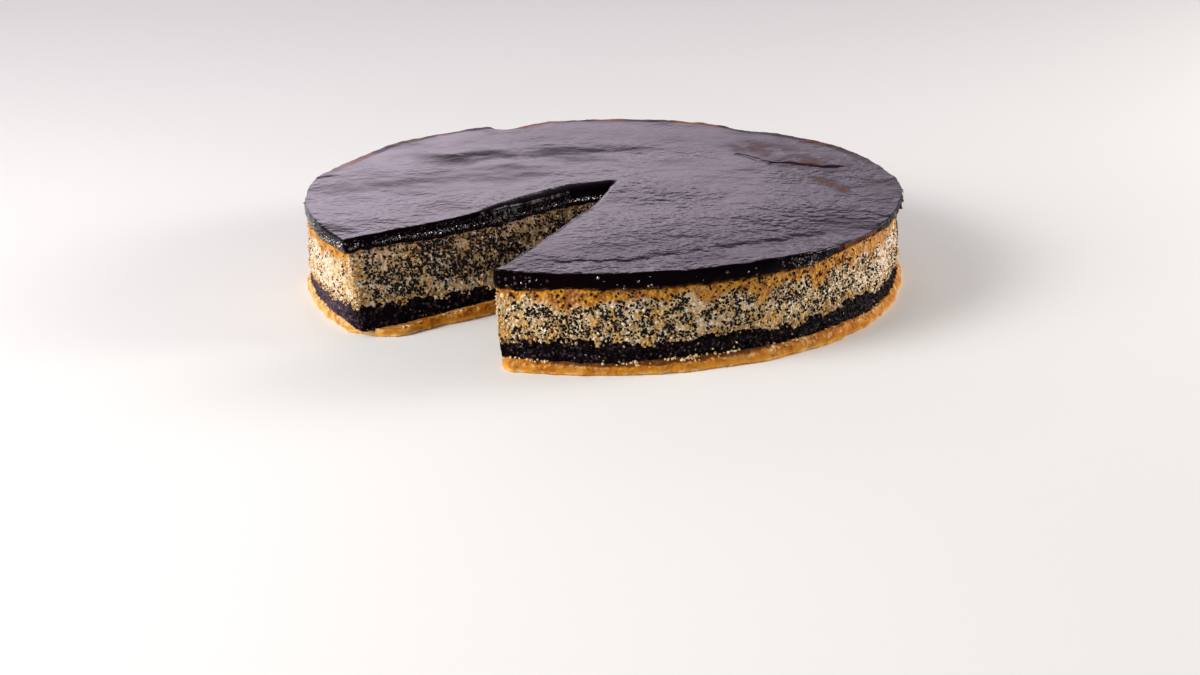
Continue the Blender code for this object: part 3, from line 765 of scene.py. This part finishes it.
# %% Dark crumbs and curd crumbs
ON_DARK, ABOVE_DARK, ON_GLAZE = 7200, 1300, 34
ON_CURD, SPILT = 5600, 900
x, y, z = np.moveaxis(dark_side, -1, 0)
loose = np.clip(0.6 + 0.5 * lumps(x, y, z, 4.0, 23.0), 0.0, 1.0)
spilt = 0.45 * swell(lumps(x, y, 0.5 * z, 4.5, 26.0), -0.1, 0.5)
x, y, z = np.moveaxis(filling_side, -1, 0)
loose_above = 0.6 * swell(lumps(x, y, z, 4.0, 24.0), -0.1, 0.4) * on_rim
at_end = humps(bearing(wall), (0.8, 358.0, 20.0)) * (1.0 - on_cut)
on_dark = draw_places(dark_side, loose, ON_DARK, 0.75, chance, low=0.0, high=1.0)
above = draw_places(filling_side, loose_above, ABOVE_DARK, 0.9, chance, low=0.0, high=0.09)
at_glaze = draw_places(wall, at_end, ON_GLAZE, 2.2, chance, low=0.1, high=1.0)
crumb_size = np.concatenate([
    chance.uniform(0.3, 0.75, (len(on_dark[0]) + len(above[0]), 1)),
    chance.uniform(0.7, 1.7, (len(at_glaze[0]), 1))])
places, normals = (np.concatenate(parts) for parts in zip(on_dark[:2], above[:2], at_glaze[:2]))
crumb_size = crumb_size * chance.uniform(0.75, 1.2, (len(places), 3))
dark_grains = bodies("dark_crumbs", twelve_faces(), places - 0.1 * normals, normals, crumb_size,
                     chance, 0.3)
dark_grains.data.shade_flat()

fringe = 1.0 - swell(filling_rise, 0.02, 0.1)[:, None]
curdled = (0.16 * swell(crumbs_of(x, y, z, 3.0, 27.0), -0.2, 0.5) * (1.0 - 0.95 * golden)
           + 0.6 * corner_lump)
curdled = np.clip(curdled + 0.9 * fringe, 0.0, 1.0)
standing = draw_places(filling_side, curdled, ON_CURD, 0.8, chance, low=0.0, high=0.9)
hanging = draw_places(dark_side, spilt, SPILT, 0.9, chance, low=0.74, high=1.0)
places, normals = (np.concatenate(parts) for parts in zip(standing[:2], hanging[:2]))
crumb_size = random_sizes(len(places), (0.3, 0.95), (0.7, 1.2), chance)
curd_crumbs = bodies("curd_crumbs", twelve_faces(), places - 0.05 * normals, normals, crumb_size,
                     chance, 0.3)

# %% [markdown]
# Pale pastry crumbs lie along the ledge and on its edge, mostly at the front, where the cake was
# touched most, and a small heap of them leans on the dark layer.

# %% Crumbs on the ledge
ON_LEDGE, ON_EDGE, IN_HEAP = 300, 260, 130
CRUMB_LIFT = 0.15       # mm
ledge = rings(base_side[-1], np.array([1.004, 0.999, 0.994, 0.989]), base_crown)
x, y, _ = np.moveaxis(ledge, -1, 0)
crumby = ((humps(bearing(ledge), (0.55, 274.0, 55.0)) + 0.03)
          * (1.0 + 1.5 * lumps(x, y, 0.0, 9.0, 2.0)))
fallen = ((humps(bearing(base_side), (0.3, 276.0, 40.0)) + 0.02)
          * swell(lumps(*np.moveaxis(base_side, -1, 0), 6.0, 5.0), -0.1, 0.3))
heap = humps(bearing(dark_side), (0.8, 290.5, 6.0)) * (1.0 - 0.8 * dark_rise[:, None])
places = np.concatenate([
    draw_places(ledge, np.clip(0.6 * crumby, 0.0, 1.0), ON_LEDGE, 0.9, chance)[0],
    draw_places(base_side, fallen, ON_EDGE, 0.9, chance, low=0.72, high=1.0)[0],
    draw_places(dark_side, heap, IN_HEAP, 0.6, chance, low=0.0, high=0.8)[0]])
upright = np.tile([[0.0, 0.0, 1.0]], (len(places), 1))
crumb_size = random_sizes(len(places), (0.22, 0.7), (0.7, 1.2), chance)
crumbs = bodies("pastry_crumbs", twenty_faces(), places + upright * CRUMB_LIFT, upright,
                crumb_size, chance, 0.28)

# %% [markdown]
# ## Finishes
# Every finish is worked out from the place on the cake, so it goes all round and through. The
# class below wraps a socket of a material's nodes, so that shader maths reads like any other:
# value * 2 adds a Math node. Colours are blended with Mix nodes and places with Vector Math,
# because a Math node keeps only one number. Lengths in the finishes are millimetres again.

# %% Shader values as Python expressions
class Signal:
    """A socket of a recipe; arithmetic on it adds Math nodes."""

    def __init__(self, recipe, socket):
        self.recipe = recipe
        self.socket = socket

    def math(self, operation, *values):
        """A Math node with these values."""
        return self.recipe.node("ShaderNodeMath", {"operation": operation}, dict(enumerate(values)))

    def __add__(self, other):
        return self.math("ADD", self, other)

    def __sub__(self, other):
        return self.math("SUBTRACT", self, other)

    def __rsub__(self, other):
        return self.math("SUBTRACT", other, self)

    def __mul__(self, other):
        return self.math("MULTIPLY", self, other)

    __radd__, __rmul__ = __add__, __mul__

    def rises(self, low, high):
        """0 below low, 1 above high, smooth in between; falls where low is above high."""
        return self.recipe.node("ShaderNodeMapRange", {"interpolation_type": "SMOOTHSTEP"},
                                {"Value": self, "From Min": low, "From Max": high})

    def clamped(self):
        """0 below 0 and 1 above 1."""
        return self.recipe.node("ShaderNodeClamp", {}, {"Value": self})

    def colour(self):
        """The colour that a texture gives besides its number."""
        return Signal(self.recipe, self.socket.node.outputs["Color"])


class Recipe:
    """A material being mixed: node() adds any node, and the rest are short forms of it."""

    def __init__(self, name, **fixed):
        self.material = bpy.data.materials.new(name)
        self.material.use_nodes = True
        self.tree = self.material.node_tree
        self.shader = self.tree.nodes["Principled BSDF"]
        for socket, value in fixed.items():
            self.shader.inputs[socket.replace("_", " ")].default_value = value
        metres = self.node("ShaderNodeTexCoord", output="Object")
        self.place = self.vector("SCALE", {0: metres, "Scale": 1.0 / MM})

    def node(self, kind, settings=None, sockets=None, output=0):
        """Add a node: its settings first, then its sockets' values or links."""
        made = self.tree.nodes.new(kind)
        for key, value in (settings or {}).items():
            setattr(made, key, value)
        for key, value in (sockets or {}).items():
            self.join(value, made.inputs[key])
        return Signal(self, made.outputs[output])

    def join(self, value, socket):
        """Link a signal to a socket, or set the socket to a number or a colour."""
        if isinstance(value, Signal):
            self.tree.links.new(value.socket, socket)
        elif isinstance(value, tuple) and socket.type == "RGBA":
            socket.default_value = (*value, 1.0)
        else:
            socket.default_value = value

    def vector(self, operation, sockets, output=0):
        """A Vector Math node; its outputs are a vector and, for lengths, the Value."""
        return self.node("ShaderNodeVectorMath", {"operation": operation}, sockets, output)

    def axis(self, name):
        """X, Y or Z of the place, in mm."""
        return self.node("ShaderNodeSeparateXYZ", {}, {"Vector": self.place}, name)

    def noise(self, size, detail=2.0, shift=0.0, stretch=(1.0, 1.0, 1.0)):
        """Cloudy noise from 0 to 1, one cloud every size mm, longer where stretch is below 1."""
        place = self.vector("MULTIPLY_ADD", {0: self.place, 1: stretch, 2: (shift, shift, shift)})
        return self.node("ShaderNodeTexNoise", {},
                         {"Vector": place, "Scale": 1.0 / size, "Detail": detail})

    def patches(self, size, detail, low, high, shift=0.0, stretch=(1.0, 1.0, 1.0)):
        """Soft patches: 0 where the noise is below low, 1 where it is above high."""
        return self.noise(size, detail, shift, stretch).rises(low, high)

    def cells(self, size, shift=0.0):
        """Distance, in cells, from the middle of the nearest cell of about size mm."""
        place = self.vector("ADD", {0: self.place, 1: (shift, shift, shift)})
        return self.node("ShaderNodeTexVoronoi", {}, {"Vector": place, "Scale": 1.0 / size})

    def granules(self, size, shift=0.0):
        """Cells of about size mm: the distance from a cell's middle, and three random numbers."""
        distance = self.cells(size, shift)
        picked = self.node("ShaderNodeSeparateColor", {}, {"Color": distance.colour()})
        return distance, *(Signal(self, channel) for channel in picked.socket.node.outputs)

    def mark(self, name):
        """A number that the mesh carries on its points."""
        return self.node("ShaderNodeAttribute", {"attribute_name": name}, output="Fac")

    def blend(self, share, first, second):
        """The first colour where share is 0, the second where it is 1."""
        return self.node("ShaderNodeMix", {"data_type": "RGBA"}, {0: share, 6: first, 7: second}, 2)

    def coats(self, colour, *layers):
        """Coats over a colour, one after the other: each is a share and the coat's own colour."""
        for share, coat in layers:
            colour = self.blend(share, colour, coat)
        return colour

    def finish(self, colour, roughness, height, dull=None):
        """Feed the shader; height is in mm and becomes a bump.

        Where dull is 1, a second shader takes over, which mirrors hardly anything.
        """
        shaders = [self.shader]
        if dull is not None:
            matt = self.tree.nodes.new("ShaderNodeBsdfPrincipled")
            matt.inputs["IOR"].default_value = 1.06
            shaders.append(matt)
            bright, dark = (Signal(self, shader.outputs[0]) for shader in shaders)
            mixed = self.node("ShaderNodeMixShader", {}, {0: dull, 1: bright, 2: dark})
            self.join(mixed, self.tree.nodes["Material Output"].inputs["Surface"])
        bump = self.node("ShaderNodeBump", {}, {"Height": height, "Distance": MM})
        for shader in shaders:
            self.join(colour, shader.inputs["Base Color"])
            self.join(roughness, shader.inputs["Roughness"])
            self.join(bump, shader.inputs["Normal"])
        return self.material


print("a finish can use:", [word for word in vars(Recipe) if not word.startswith("_")])

# %% [markdown]
# ## Pastry finish
# Baked shortcrust runs from pale gold to deep amber in soft clouds, with a few dark specks. Its
# foot is gilded and carries painted highlights in places, its far left is painted paler as the
# lit end, and its upper edge is creamy. The ledge gets painted shade where the numbers on the
# points say so. Short noise mixes those, and a fine grain bumps the surface like sugar and
# flour do.

# %% Pastry finish
def pastry_finish(name, pale_crust, light, amber, deep, grain):
    """Golden pastry: light to amber in clouds, pale in places, deep in spots, and a fine grain."""
    pastry = Recipe(name, IOR=1.2)
    clouds = pastry.patches(5.0, 3.0, 0.38, 0.62)
    up = pastry.axis("Z")
    gilded = up.rises(3.2, 0.6) * pastry.patches(6.0, 2.0, 0.3, 0.55, 9.0)
    # Painted highlights: pale glints in patches along the foot, where the pastry is also made
    # glossier.
    foot_highlight = up.rises(1.6, 0.6) * pastry.patches(2.4, 3.0, 0.5, 0.62, 17.0)
    # Painted light: the far left end, which faces the window, is painted paler in patches.
    lit_left = pastry.axis("X").rises(-70.0, -105.0)
    creamy = up.rises(1.8, 4.2) * pastry.patches(2.0, 3.0, 0.52, 0.62, 27.0)
    # Painted shade: the ledge is darkened almost to black where its numbers are high, under the
    # dark layer.
    painted_ledge_shade = (pastry.mark("ledge") + 1.5 * pastry.noise(3.5, 4.0, 6.0)).rises(0.95, 1.4)
    colour = pastry.coats(
        pastry.blend(clouds, light, amber),
        (0.6 * pastry.patches(8.0, 2.0, 0.5, 0.7, 13.0, (1.0, 1.0, 0.5)), pale_crust),
        (0.75 * pastry.patches(1.6, 3.0, 0.5, 0.72, 4.0), deep),
        (0.8 * pastry.cells(2.9, 2.0).rises(0.16, 0.1), (0.05, 0.018, 0.008)),
        (0.75 * gilded, (0.78, 0.37, 0.045)),
        (0.7 * foot_highlight, (0.88, 0.66, 0.34)),
        (0.6 * lit_left * pastry.patches(3.0, 3.0, 0.3, 0.6, 24.0), (0.86, 0.62, 0.28)),
        (0.65 * creamy, (0.86, 0.56, 0.22)),
        (0.92 * painted_ledge_shade, (0.085, 0.023, 0.006)))
    height = grain * (0.5 * pastry.noise(1.1, 3.0) + 0.3 * pastry.noise(0.4, 2.0, 8.0))
    return pastry.finish(colour, 0.38 + 0.3 * clouds - 0.2 * foot_highlight, height)


baked = pastry_finish("golden_pastry", pale_crust=(0.64, 0.32, 0.08), light=(0.56, 0.205, 0.008),
                      amber=(0.42, 0.118, 0.003), deep=(0.22, 0.048, 0.002), grain=0.9)
dusty = pastry_finish("pale_crumbs", pale_crust=(0.85, 0.72, 0.50), light=(0.80, 0.62, 0.36),
                      amber=(0.70, 0.45, 0.18), deep=(0.5, 0.25, 0.07), grain=0.4)
pastry_base.data.materials.append(baked)
crumbs.data.materials.append(dusty)
print("pastry finishes:", baked.name, dusty.name)

# %% [markdown]
# ## Crumb finish
# The dark layer is nearly black with a breath of purple. Grains of about a millimetre carry
# painted highlights as grey-violet points, most of all on the lit far left, and a few pale
# specks of curd and pastry stick to them.

# %% Dark crumb finish
crumb = Recipe("dark_crumb_finish", IOR=1.13)
middle, pick, tint, _ = crumb.granules(0.8)
tone = crumb.patches(2.4, 3.0, 0.4, 0.68, 3.0)
# Painted light: the far left end of the dark layer, which faces the window.
lit_left = crumb.axis("X").rises(-92.0, -104.0)
colour = crumb.coats(
    crumb.blend(pick * tone, (0.002, 0.0008, 0.0011), (0.015, 0.006, 0.009)),
    # Painted highlights: grey-violet glints on some grains, and a painted sheen on the lit far
    # left.
    (0.9 * pick.rises(0.86, 0.96), (0.075, 0.055, 0.075)),
    (0.85 * lit_left * (0.4 + 0.6 * pick), (0.13, 0.088, 0.125)),
    (0.7 * tint.rises(0.88, 0.94) * tone, (0.09, 0.035, 0.02)),
    (0.9 * tint.rises(0.975, 0.985) * middle.rises(0.5, 0.3), (0.62, 0.46, 0.36)))
height = 0.4 * middle.rises(0.7, 0.1) + 0.25 * crumb.noise(0.6, 3.0, 1.0)
damp = crumb.finish(colour, 0.5 - 0.3 * pick, height)
dark_crumb.data.materials.append(damp)
dark_grains.data.materials.append(damp)
print("crumb finish has", len(crumb.tree.nodes), "nodes")

# %% [markdown]
# ## Filling finish
# Cream-coloured curd, whiter on its lumps, with yellow and honey-coloured patches of a few
# millimetres and painted shade in the hollows between its granules. Towards the glaze it turns
# golden orange, and both ends of the rim are painted paler where the light falls most; the
# numbers on the points say where. On a cut its lumps are whiter and its upper part is darkened
# with painted shade. Seeds that lie just under the surface show as grey-brown dots between the
# real ones, and not where the points are marked as seedless.

# %% Filling finish
def curd_finish(name, seedy):
    """Mixed curd: cream, white and honey granules; seedy is how many hidden seeds show."""
    curd_mix = Recipe(name, IOR=1.22)
    middle, whiteness, warmth, hidden = curd_mix.granules(1.25, 3.0)
    patches = curd_mix.mark("honey") if seedy else curd_mix.patches(4.4, 2.0, 0.44, 0.58)
    white = 0.35 + 0.65 * curd_mix.patches(3.6, 2.0, 0.38, 0.60, 5.0)
    colour = curd_mix.coats(
        (0.72, 0.50, 0.24),
        (whiteness.rises(0.35, 0.75) * white, (0.95, 0.84, 0.67)),
        ((0.65 + 0.35 * warmth) * patches, (0.70, 0.38, 0.08)))
    # Painted shade: the curd darkens towards the edges of its granules, where the bump has its
    # hollows.
    painted_hollow_shade = 0.55 * middle.rises(0.42, 0.75)
    if seedy:
        golden_mark, rise_mark, pale_mark = (curd_mix.mark(n) for n in ("golden", "rise", "pale"))
        cut_mark = 1.0 - curd_mix.mark("on_rim")
        band = curd_mix.coats(
            (0.27, 0.068, 0.001),
            (curd_mix.patches(2.6, 3.0, 0.36, 0.6, 21.0), (0.58, 0.245, 0.007)),
            (0.25 * whiteness.rises(0.8, 0.97), (0.80, 0.48, 0.10)))
        cluster = curd_mix.noise(5.0, 2.0, 2.0)
        seed = (hidden + seedy * cluster + 0.2 * cut_mark).rises(1.02, 1.08)
        seed = seed * middle.rises(0.46, 0.36) * (1.0 - 0.85 * golden_mark)
        seed = seed * (1.0 - 0.6 * pale_mark) * (1.0 - 0.7 * patches)
        seed = seed * (1.0 - curd_mix.mark("seedless"))
        colour = curd_mix.coats(
            colour,
            # Painted light: both ends of the rim paler.
            (0.75 * pale_mark, (0.96, 0.81, 0.68)),
            (0.95 * golden_mark, band),
            (0.5 * cut_mark * whiteness.rises(0.45, 0.8), (0.93, 0.86, 0.74)),
            # Painted shade: a cut darkens towards its top, under the glaze.
            (0.42 * cut_mark * rise_mark, (0.21, 0.085, 0.035)),
            (0.9 * seed, (0.018, 0.011, 0.010)),
            (0.7 * rise_mark.rises(0.95, 1.0), (0.10, 0.028, 0.004)))
        painted_hollow_shade = painted_hollow_shade * (1.0 - 0.75 * golden_mark)
    # Painted shade in the hollows between the granules.
    colour = curd_mix.blend(painted_hollow_shade, colour, (0.22, 0.11, 0.035))
    height = 0.5 * middle.rises(0.75, 0.05) + 0.15 * curd_mix.noise(0.5, 2.0, 4.0)
    print(name, "has", len(curd_mix.tree.nodes), "nodes")
    return curd_mix.finish(colour, 0.42 + 0.2 * whiteness, height)


filling.data.materials.append(curd_finish("curd_with_seeds", 0.55))
curd_crumbs.data.materials.append(curd_finish("loose_curd", 0.0))

# %% [markdown]
# ## Seed finish
# Blue-black poppy seeds, matt, a little lighter on some so that they don't melt into one.

# %% Poppy seed finish
poppy = Recipe("poppy_seed_finish", IOR=1.2)
shade = poppy.patches(1.3, 2.0, 0.42, 0.68)
colour = poppy.blend(shade, (0.003, 0.0022, 0.0028), (0.022, 0.015, 0.018))
seeds.data.materials.append(poppy.finish(colour, 0.55 + 0.1 * shade, 0.05 * poppy.cells(0.24)))
print("seed finish has", len(poppy.tree.nodes), "nodes")

# %% [markdown]
# ## Glaze finish
# Plum jelly is almost black, and what is seen on it is mostly the light of the room, broken by
# fine ripples that set in it, with calmer places in between. Each groove is a line between two
# places: its depth falls off with the distance from that line, and a slow noise makes it wander.
# Where the glaze is thin over the golden filling, at the rim and in a few patches, it is brown,
# and to the right it is a breath more violet. Soft clouds that follow no relief are a second,
# matt finish.

# %% Ripples and grooves of the glaze
WANDER = 9.0    # mm that a groove wanders along Y, half of it to each side
GROOVES = (((57.0, 50.0), (72.0, 32.0), 2.2, 0.5), ((72.0, 32.0), (97.0, 24.5), 4.2, 2.3),
           ((42.0, -92.0), (62.0, -80.5), 6.0, 0.50), ((62.0, -80.5), (78.0, -71.0), 6.5, 0.60),
           ((-17.0, -107.0), (6.0, -105.0), 4.5, 0.32), ((6.0, -105.0), (33.0, -95.0), 5.0, 0.38),
           ((-60.0, 42.0), (-28.0, 60.0), 16.0, 0.5), ((-28.0, 60.0), (14.0, 54.0), 15.0, 0.45),
           ((-120.0, -12.0), (-45.0, -6.0), 48.0, 1.3))
jelly = Recipe("plum_jelly", IOR=1.4, Specular_Tint=(0.16, 0.1, 0.14, 1.0))
flat_place = jelly.vector("MULTIPLY", {0: jelly.place, 1: (1.0, 1.0, 0.0)})
wander = jelly.noise(11.0, 2.0, 4.0).colour()
wavy_place = jelly.vector("MULTIPLY_ADD", {0: wander, 1: (0.0, WANDER, 0.0), 2: flat_place})


def groove(start, end, half_width, depth=1.0):
    """depth * (1 - smooth distance from the segment / half_width), for a place on the top.

    The nearest point of the segment is start + t * (end - start), t = the place's share along
    it, kept between 0 and 1.
    """
    a, b = (Vector((x, y + 0.5 * WANDER, 0.0)) for x, y in (start, end))
    along = b - a
    offset = jelly.vector("SUBTRACT", {0: wavy_place, 1: a})
    share = jelly.vector("DOT_PRODUCT", {0: offset, 1: along / along.length_squared}, "Value")
    foot = jelly.vector("SCALE", {0: along, "Scale": share.clamped()})
    apart = jelly.vector("DISTANCE", {0: offset, 1: foot}, "Value")
    return depth * apart.rises(half_width, 0.0)


to_front = jelly.vector("DOT_PRODUCT", {0: jelly.place, 1: (0.6, -0.8, 0.0)}, "Value")
calm = ((0.35 + 0.65 * jelly.patches(45.0, 1.0, 0.35, 0.6, 6.0))
        * (0.4 + 0.6 * to_front.rises(-50.0, 35.0)))
ripples = (0.50 * calm * jelly.noise(2.8, 1.0, 0.0, (1.1, 1.0, 1.0))
           + 0.60 * calm * jelly.noise(5.5, 1.0, 9.0)
           + 0.60 * jelly.noise(17.0, 1.0, 5.0, (0.9, 1.0, 1.0))
           + 0.05 * jelly.noise(1.1, 1.0, 2.0))
wet_mark, height_mark, thin_mark = (jelly.mark(name) for name in ("wet", "height", "thin_rim"))
weeping = wet_mark * jelly.cells(1.3, 4.0).rises(0.7, 0.0) * 0.4
height = ripples - sum(groove(*line) for line in GROOVES) + weeping
print(len(GROOVES), "grooves, and", len(jelly.tree.nodes), "nodes so far")

# %% [markdown]
# The jelly's colour starts almost black. Over it come violet towards the right, brown where it is
# thin, and the golden edge of the filling that shines through at the back and at the thin rim.

# %% Colours and clouds of the glaze
flat_top = height_mark.rises(0.95, 1.0)
patch = (0.6 * jelly.patches(8.0, 3.0, 0.38, 0.58, 1.0) * groove((64.0, 62.0), (92.0, 36.0), 18.0)
         + jelly.patches(2.5, 3.0, 0.25, 0.7, 12.0) * groove((87.0, 8.0), (96.0, -12.0), 5.5, 1.1)
         + 0.45 * jelly.patches(10.0, 3.0, 0.3, 0.7, 18.0)
         * groove((70.0, 62.0), (104.0, 0.0), 32.0))
brown = patch.clamped()
to_right = jelly.axis("X").rises(-30.0, 70.0)
edge_brown = ((1.0 - wet_mark) * height_mark.rises(0.12, 0.0)
              * jelly.patches(3.0, 2.0, 0.4, 0.6, 6.0))
from_axis = jelly.vector("DISTANCE", {0: flat_place, 1: (*TIN_AXIS, 0.0)}, "Value")
at_back = jelly.axis("Y").rises(10.0, 60.0)
back_edge = at_back * (from_axis + 6.0 * jelly.noise(14.0, 2.0, 11.0)).rises(116.8, 119.2)
back_tone = jelly.blend(jelly.patches(22.0, 2.0, 0.44, 0.6, 30.0),
                        (0.010, 0.004, 0.004), (0.19, 0.058, 0.010))
bits = jelly.patches(2.2, 3.0, 0.44, 0.6, 15.0, (1.0, 1.0, 0.6))
colour = jelly.coats(
    (0.0022, 0.0006, 0.0013),
    (brown, (0.10, 0.032, 0.011)),
    (to_right * (1.0 - brown) * flat_top, (0.012, 0.0036, 0.0148)),
    (0.7 * edge_brown, (0.16, 0.06, 0.012)),
    (0.9 * back_edge, back_tone),
    (0.9 * thin_mark * bits, (0.15, 0.045, 0.010)))

clouds = (jelly.patches(17.0, 3.0, 0.42, 0.6, 25.0, (0.55, 1.0, 1.0))
          * groove((-62.0, 50.0), (22.0, 58.0), 32.0)
          + 0.4 * groove((-112.0, -2.0), (-72.0, 8.0), 15.0)
          * jelly.patches(9.0, 2.0, 0.3, 0.6, 33.0)
          + 0.45 * at_back * from_axis.rises(108.0, 119.0)
          * jelly.patches(26.0, 2.0, 0.4, 0.6, 8.0))
faint = (0.26 * groove((-20.0, -100.0), (40.0, -88.0), 42.0)
         + 0.22 * groove((-30.0, 95.0), (75.0, 80.0), 45.0))
left_end = jelly.axis("X").rises(-88.0, -100.0)
roughness = (0.12 + 0.12 * jelly.noise(5.0, 3.0, 8.0) - 0.06 * wet_mark + 0.3 * brown
             + 0.55 * thin_mark)
dull = (0.8 * height_mark.rises(0.95, 0.6) * (1.0 - 0.55 * left_end) + 0.4 * brown
        + 0.85 * back_edge + clouds + faint).clamped()
glaze.data.materials.append(jelly.finish(colour, roughness, height, dull))

syrup = Recipe("syrup_finish", IOR=1.9)
tone = syrup.blend(syrup.noise(0.8, 2.0), (0.010, 0.003, 0.005), (0.03, 0.012, 0.014))
beads.data.materials.append(
    syrup.finish(tone, 0.04 + 0.06 * syrup.noise(1.0, 1.0), 0.1 * syrup.noise(0.5, 1.0)))
print("glaze finish has", len(jelly.tree.nodes), "nodes")

# %% [markdown]
# ## Join the pieces to the frame
# Each skin stands for its solid, which is then hidden. Every piece, the seeds, beads and crumbs
# too, rides on the body called root.

# %% Ride and replace
for piece, node, finish_slot in ((pastry_base, "pastry_base", "pastry"),
                                 (dark_crumb, "dark_crumb", "crumb"),
                                 (filling, "cheesecake_filling", "filling"),
                                 (glaze, "plum_glaze", "glaze")):
    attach(piece, "root")
    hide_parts(node)
for piece, finish_slot in ((seeds, "filling"), (curd_crumbs, "filling"), (crumbs, "pastry"),
                           (dark_grains, "crumb"), (beads, "glaze")):
    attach(piece, "root")
print("pieces:", [piece.name for piece in (pastry_base, dark_crumb, filling, glaze, seeds,
                                         curd_crumbs, crumbs, dark_grains, beads)])

# %% [markdown]
# ## Floor
# A plain pale floor, large enough to fill the picture, with hardly any grain. It is only a stage
# and no part of the cake.

# %% Floor
REACH = 6.0     # metres from the middle to each side
floor_mesh = bpy.data.meshes.new("floor")
floor_mesh.from_pydata([(-REACH, -REACH, 0.0), (REACH, -REACH, 0.0), (REACH, REACH, 0.0),
                        (-REACH, REACH, 0.0)], [], [(0, 1, 2, 3)])
floor = bpy.data.objects.new("floor", floor_mesh)
bpy.context.scene.collection.objects.link(floor)
paint = Recipe("floor_paint")
tint = paint.blend(paint.noise(300.0, 1.0), (0.80, 0.79, 0.78), (0.84, 0.83, 0.82))
floor_mesh.materials.append(paint.finish(tint, 0.7, 0.02 * paint.noise(3.0, 2.0)))
print("floor", 2 * REACH, "m across")

# %% [markdown]
# ## Lights
# A large soft window stands at the left and slightly in front. The glaze mirrors what is behind
# the cake, so a wide violet glow there gives its sheen. A smaller one at the right opens the
# shadows, and a pale sky does the rest. A softbox with hard edges would be seen in the glaze as
# a box, so each fades towards its edges.

# %% Lights
def soft_light(name, place, target, width, height, power, colour):
    """A softbox that faces the target: brightest in its middle, fading evenly to its edges.

    strength = 1 - distance from the middle, in half widths and half heights, and never below 0.
    """
    lamp = bpy.data.lights.new(name, "AREA")
    lamp.shape = "RECTANGLE"
    lamp.size, lamp.size_y = width, height
    lamp.energy = power
    lamp.color = colour
    lamp.use_nodes = True
    nodes, links = lamp.node_tree.nodes, lamp.node_tree.links
    across = nodes.new("ShaderNodeNewGeometry").outputs["Parametric"]
    spread_out = nodes.new("ShaderNodeVectorMath")
    spread_out.operation = "MULTIPLY_ADD"
    spread_out.inputs[1].default_value = (2.0, 2.0, 0.0)
    spread_out.inputs[2].default_value = (-1.0, -1.0, 0.0)
    fade = nodes.new("ShaderNodeTexGradient")
    fade.gradient_type = "SPHERICAL"
    links.new(across, spread_out.inputs[0])
    links.new(spread_out.outputs[0], fade.inputs["Vector"])
    links.new(fade.outputs["Fac"], nodes["Emission"].inputs["Strength"])
    holder = bpy.data.objects.new(name, lamp)
    holder.location = place
    holder.rotation_euler = (Vector(target) - Vector(place)).to_track_quat("-Z", "Y").to_euler()
    bpy.context.scene.collection.objects.link(holder)
    print(name, "of", power, "W, facing", target)


soft_light("window", (-1.0, -0.5, 0.65), (0.0, 0.0, 0.02), 1.1, 1.0, 78.0, (1.0, 0.975, 0.94))
soft_light("back_glow", (-0.68, 1.9, 0.58), (-0.68, 0.0, 0.58), 3.1, 1.3, 31.0, (1.0, 0.81, 1.0))
soft_light("right_glow", (1.15, 0.2, 0.36), (0.05, 0.0, 0.02), 0.9, 0.6, 52.0, (1.0, 0.96, 0.9))
sky = bpy.data.worlds.new("sky")
sky.use_nodes = True
sky.node_tree.nodes["Background"].inputs["Color"].default_value = (0.93, 0.94, 1.0, 1.0)
sky.node_tree.nodes["Background"].inputs["Strength"].default_value = 0.28
bpy.context.scene.world = sky
bpy.context.scene.view_settings.view_transform = "Standard"

# %% [markdown]
# ## Camera
# The camera looks down at 19 degrees from three quarters of a metre. Its place, its lens and its
# slight roll were fitted to the ellipse of the rim and to the lines of the layers in the photo.

# %% Camera
LENS, SENSOR_WIDTH = 58.143, 36.0       # mm
DOWN, ROLL = 0.336722, -0.009897        # radians
lens_data = bpy.data.cameras.new("camera")
lens_data.sensor_width = SENSOR_WIDTH
lens_data.lens = LENS
camera = bpy.data.objects.new("camera", lens_data)
camera.location = (-0.002813, -0.763004, 0.239367)
turn = Matrix.Rotation(math.pi / 2 - DOWN, 3, "X") @ Matrix.Rotation(ROLL, 3, "Z")
camera.rotation_euler = turn.to_euler()
bpy.context.scene.collection.objects.link(camera)
bpy.context.scene.camera = camera
print("camera looks down by", round(math.degrees(DOWN), 1), "degrees")

# %% [markdown]
# ## Size
# The finer surfaces have to stay close to the solids' box: here they lie past it by at most
# about a millimetre.
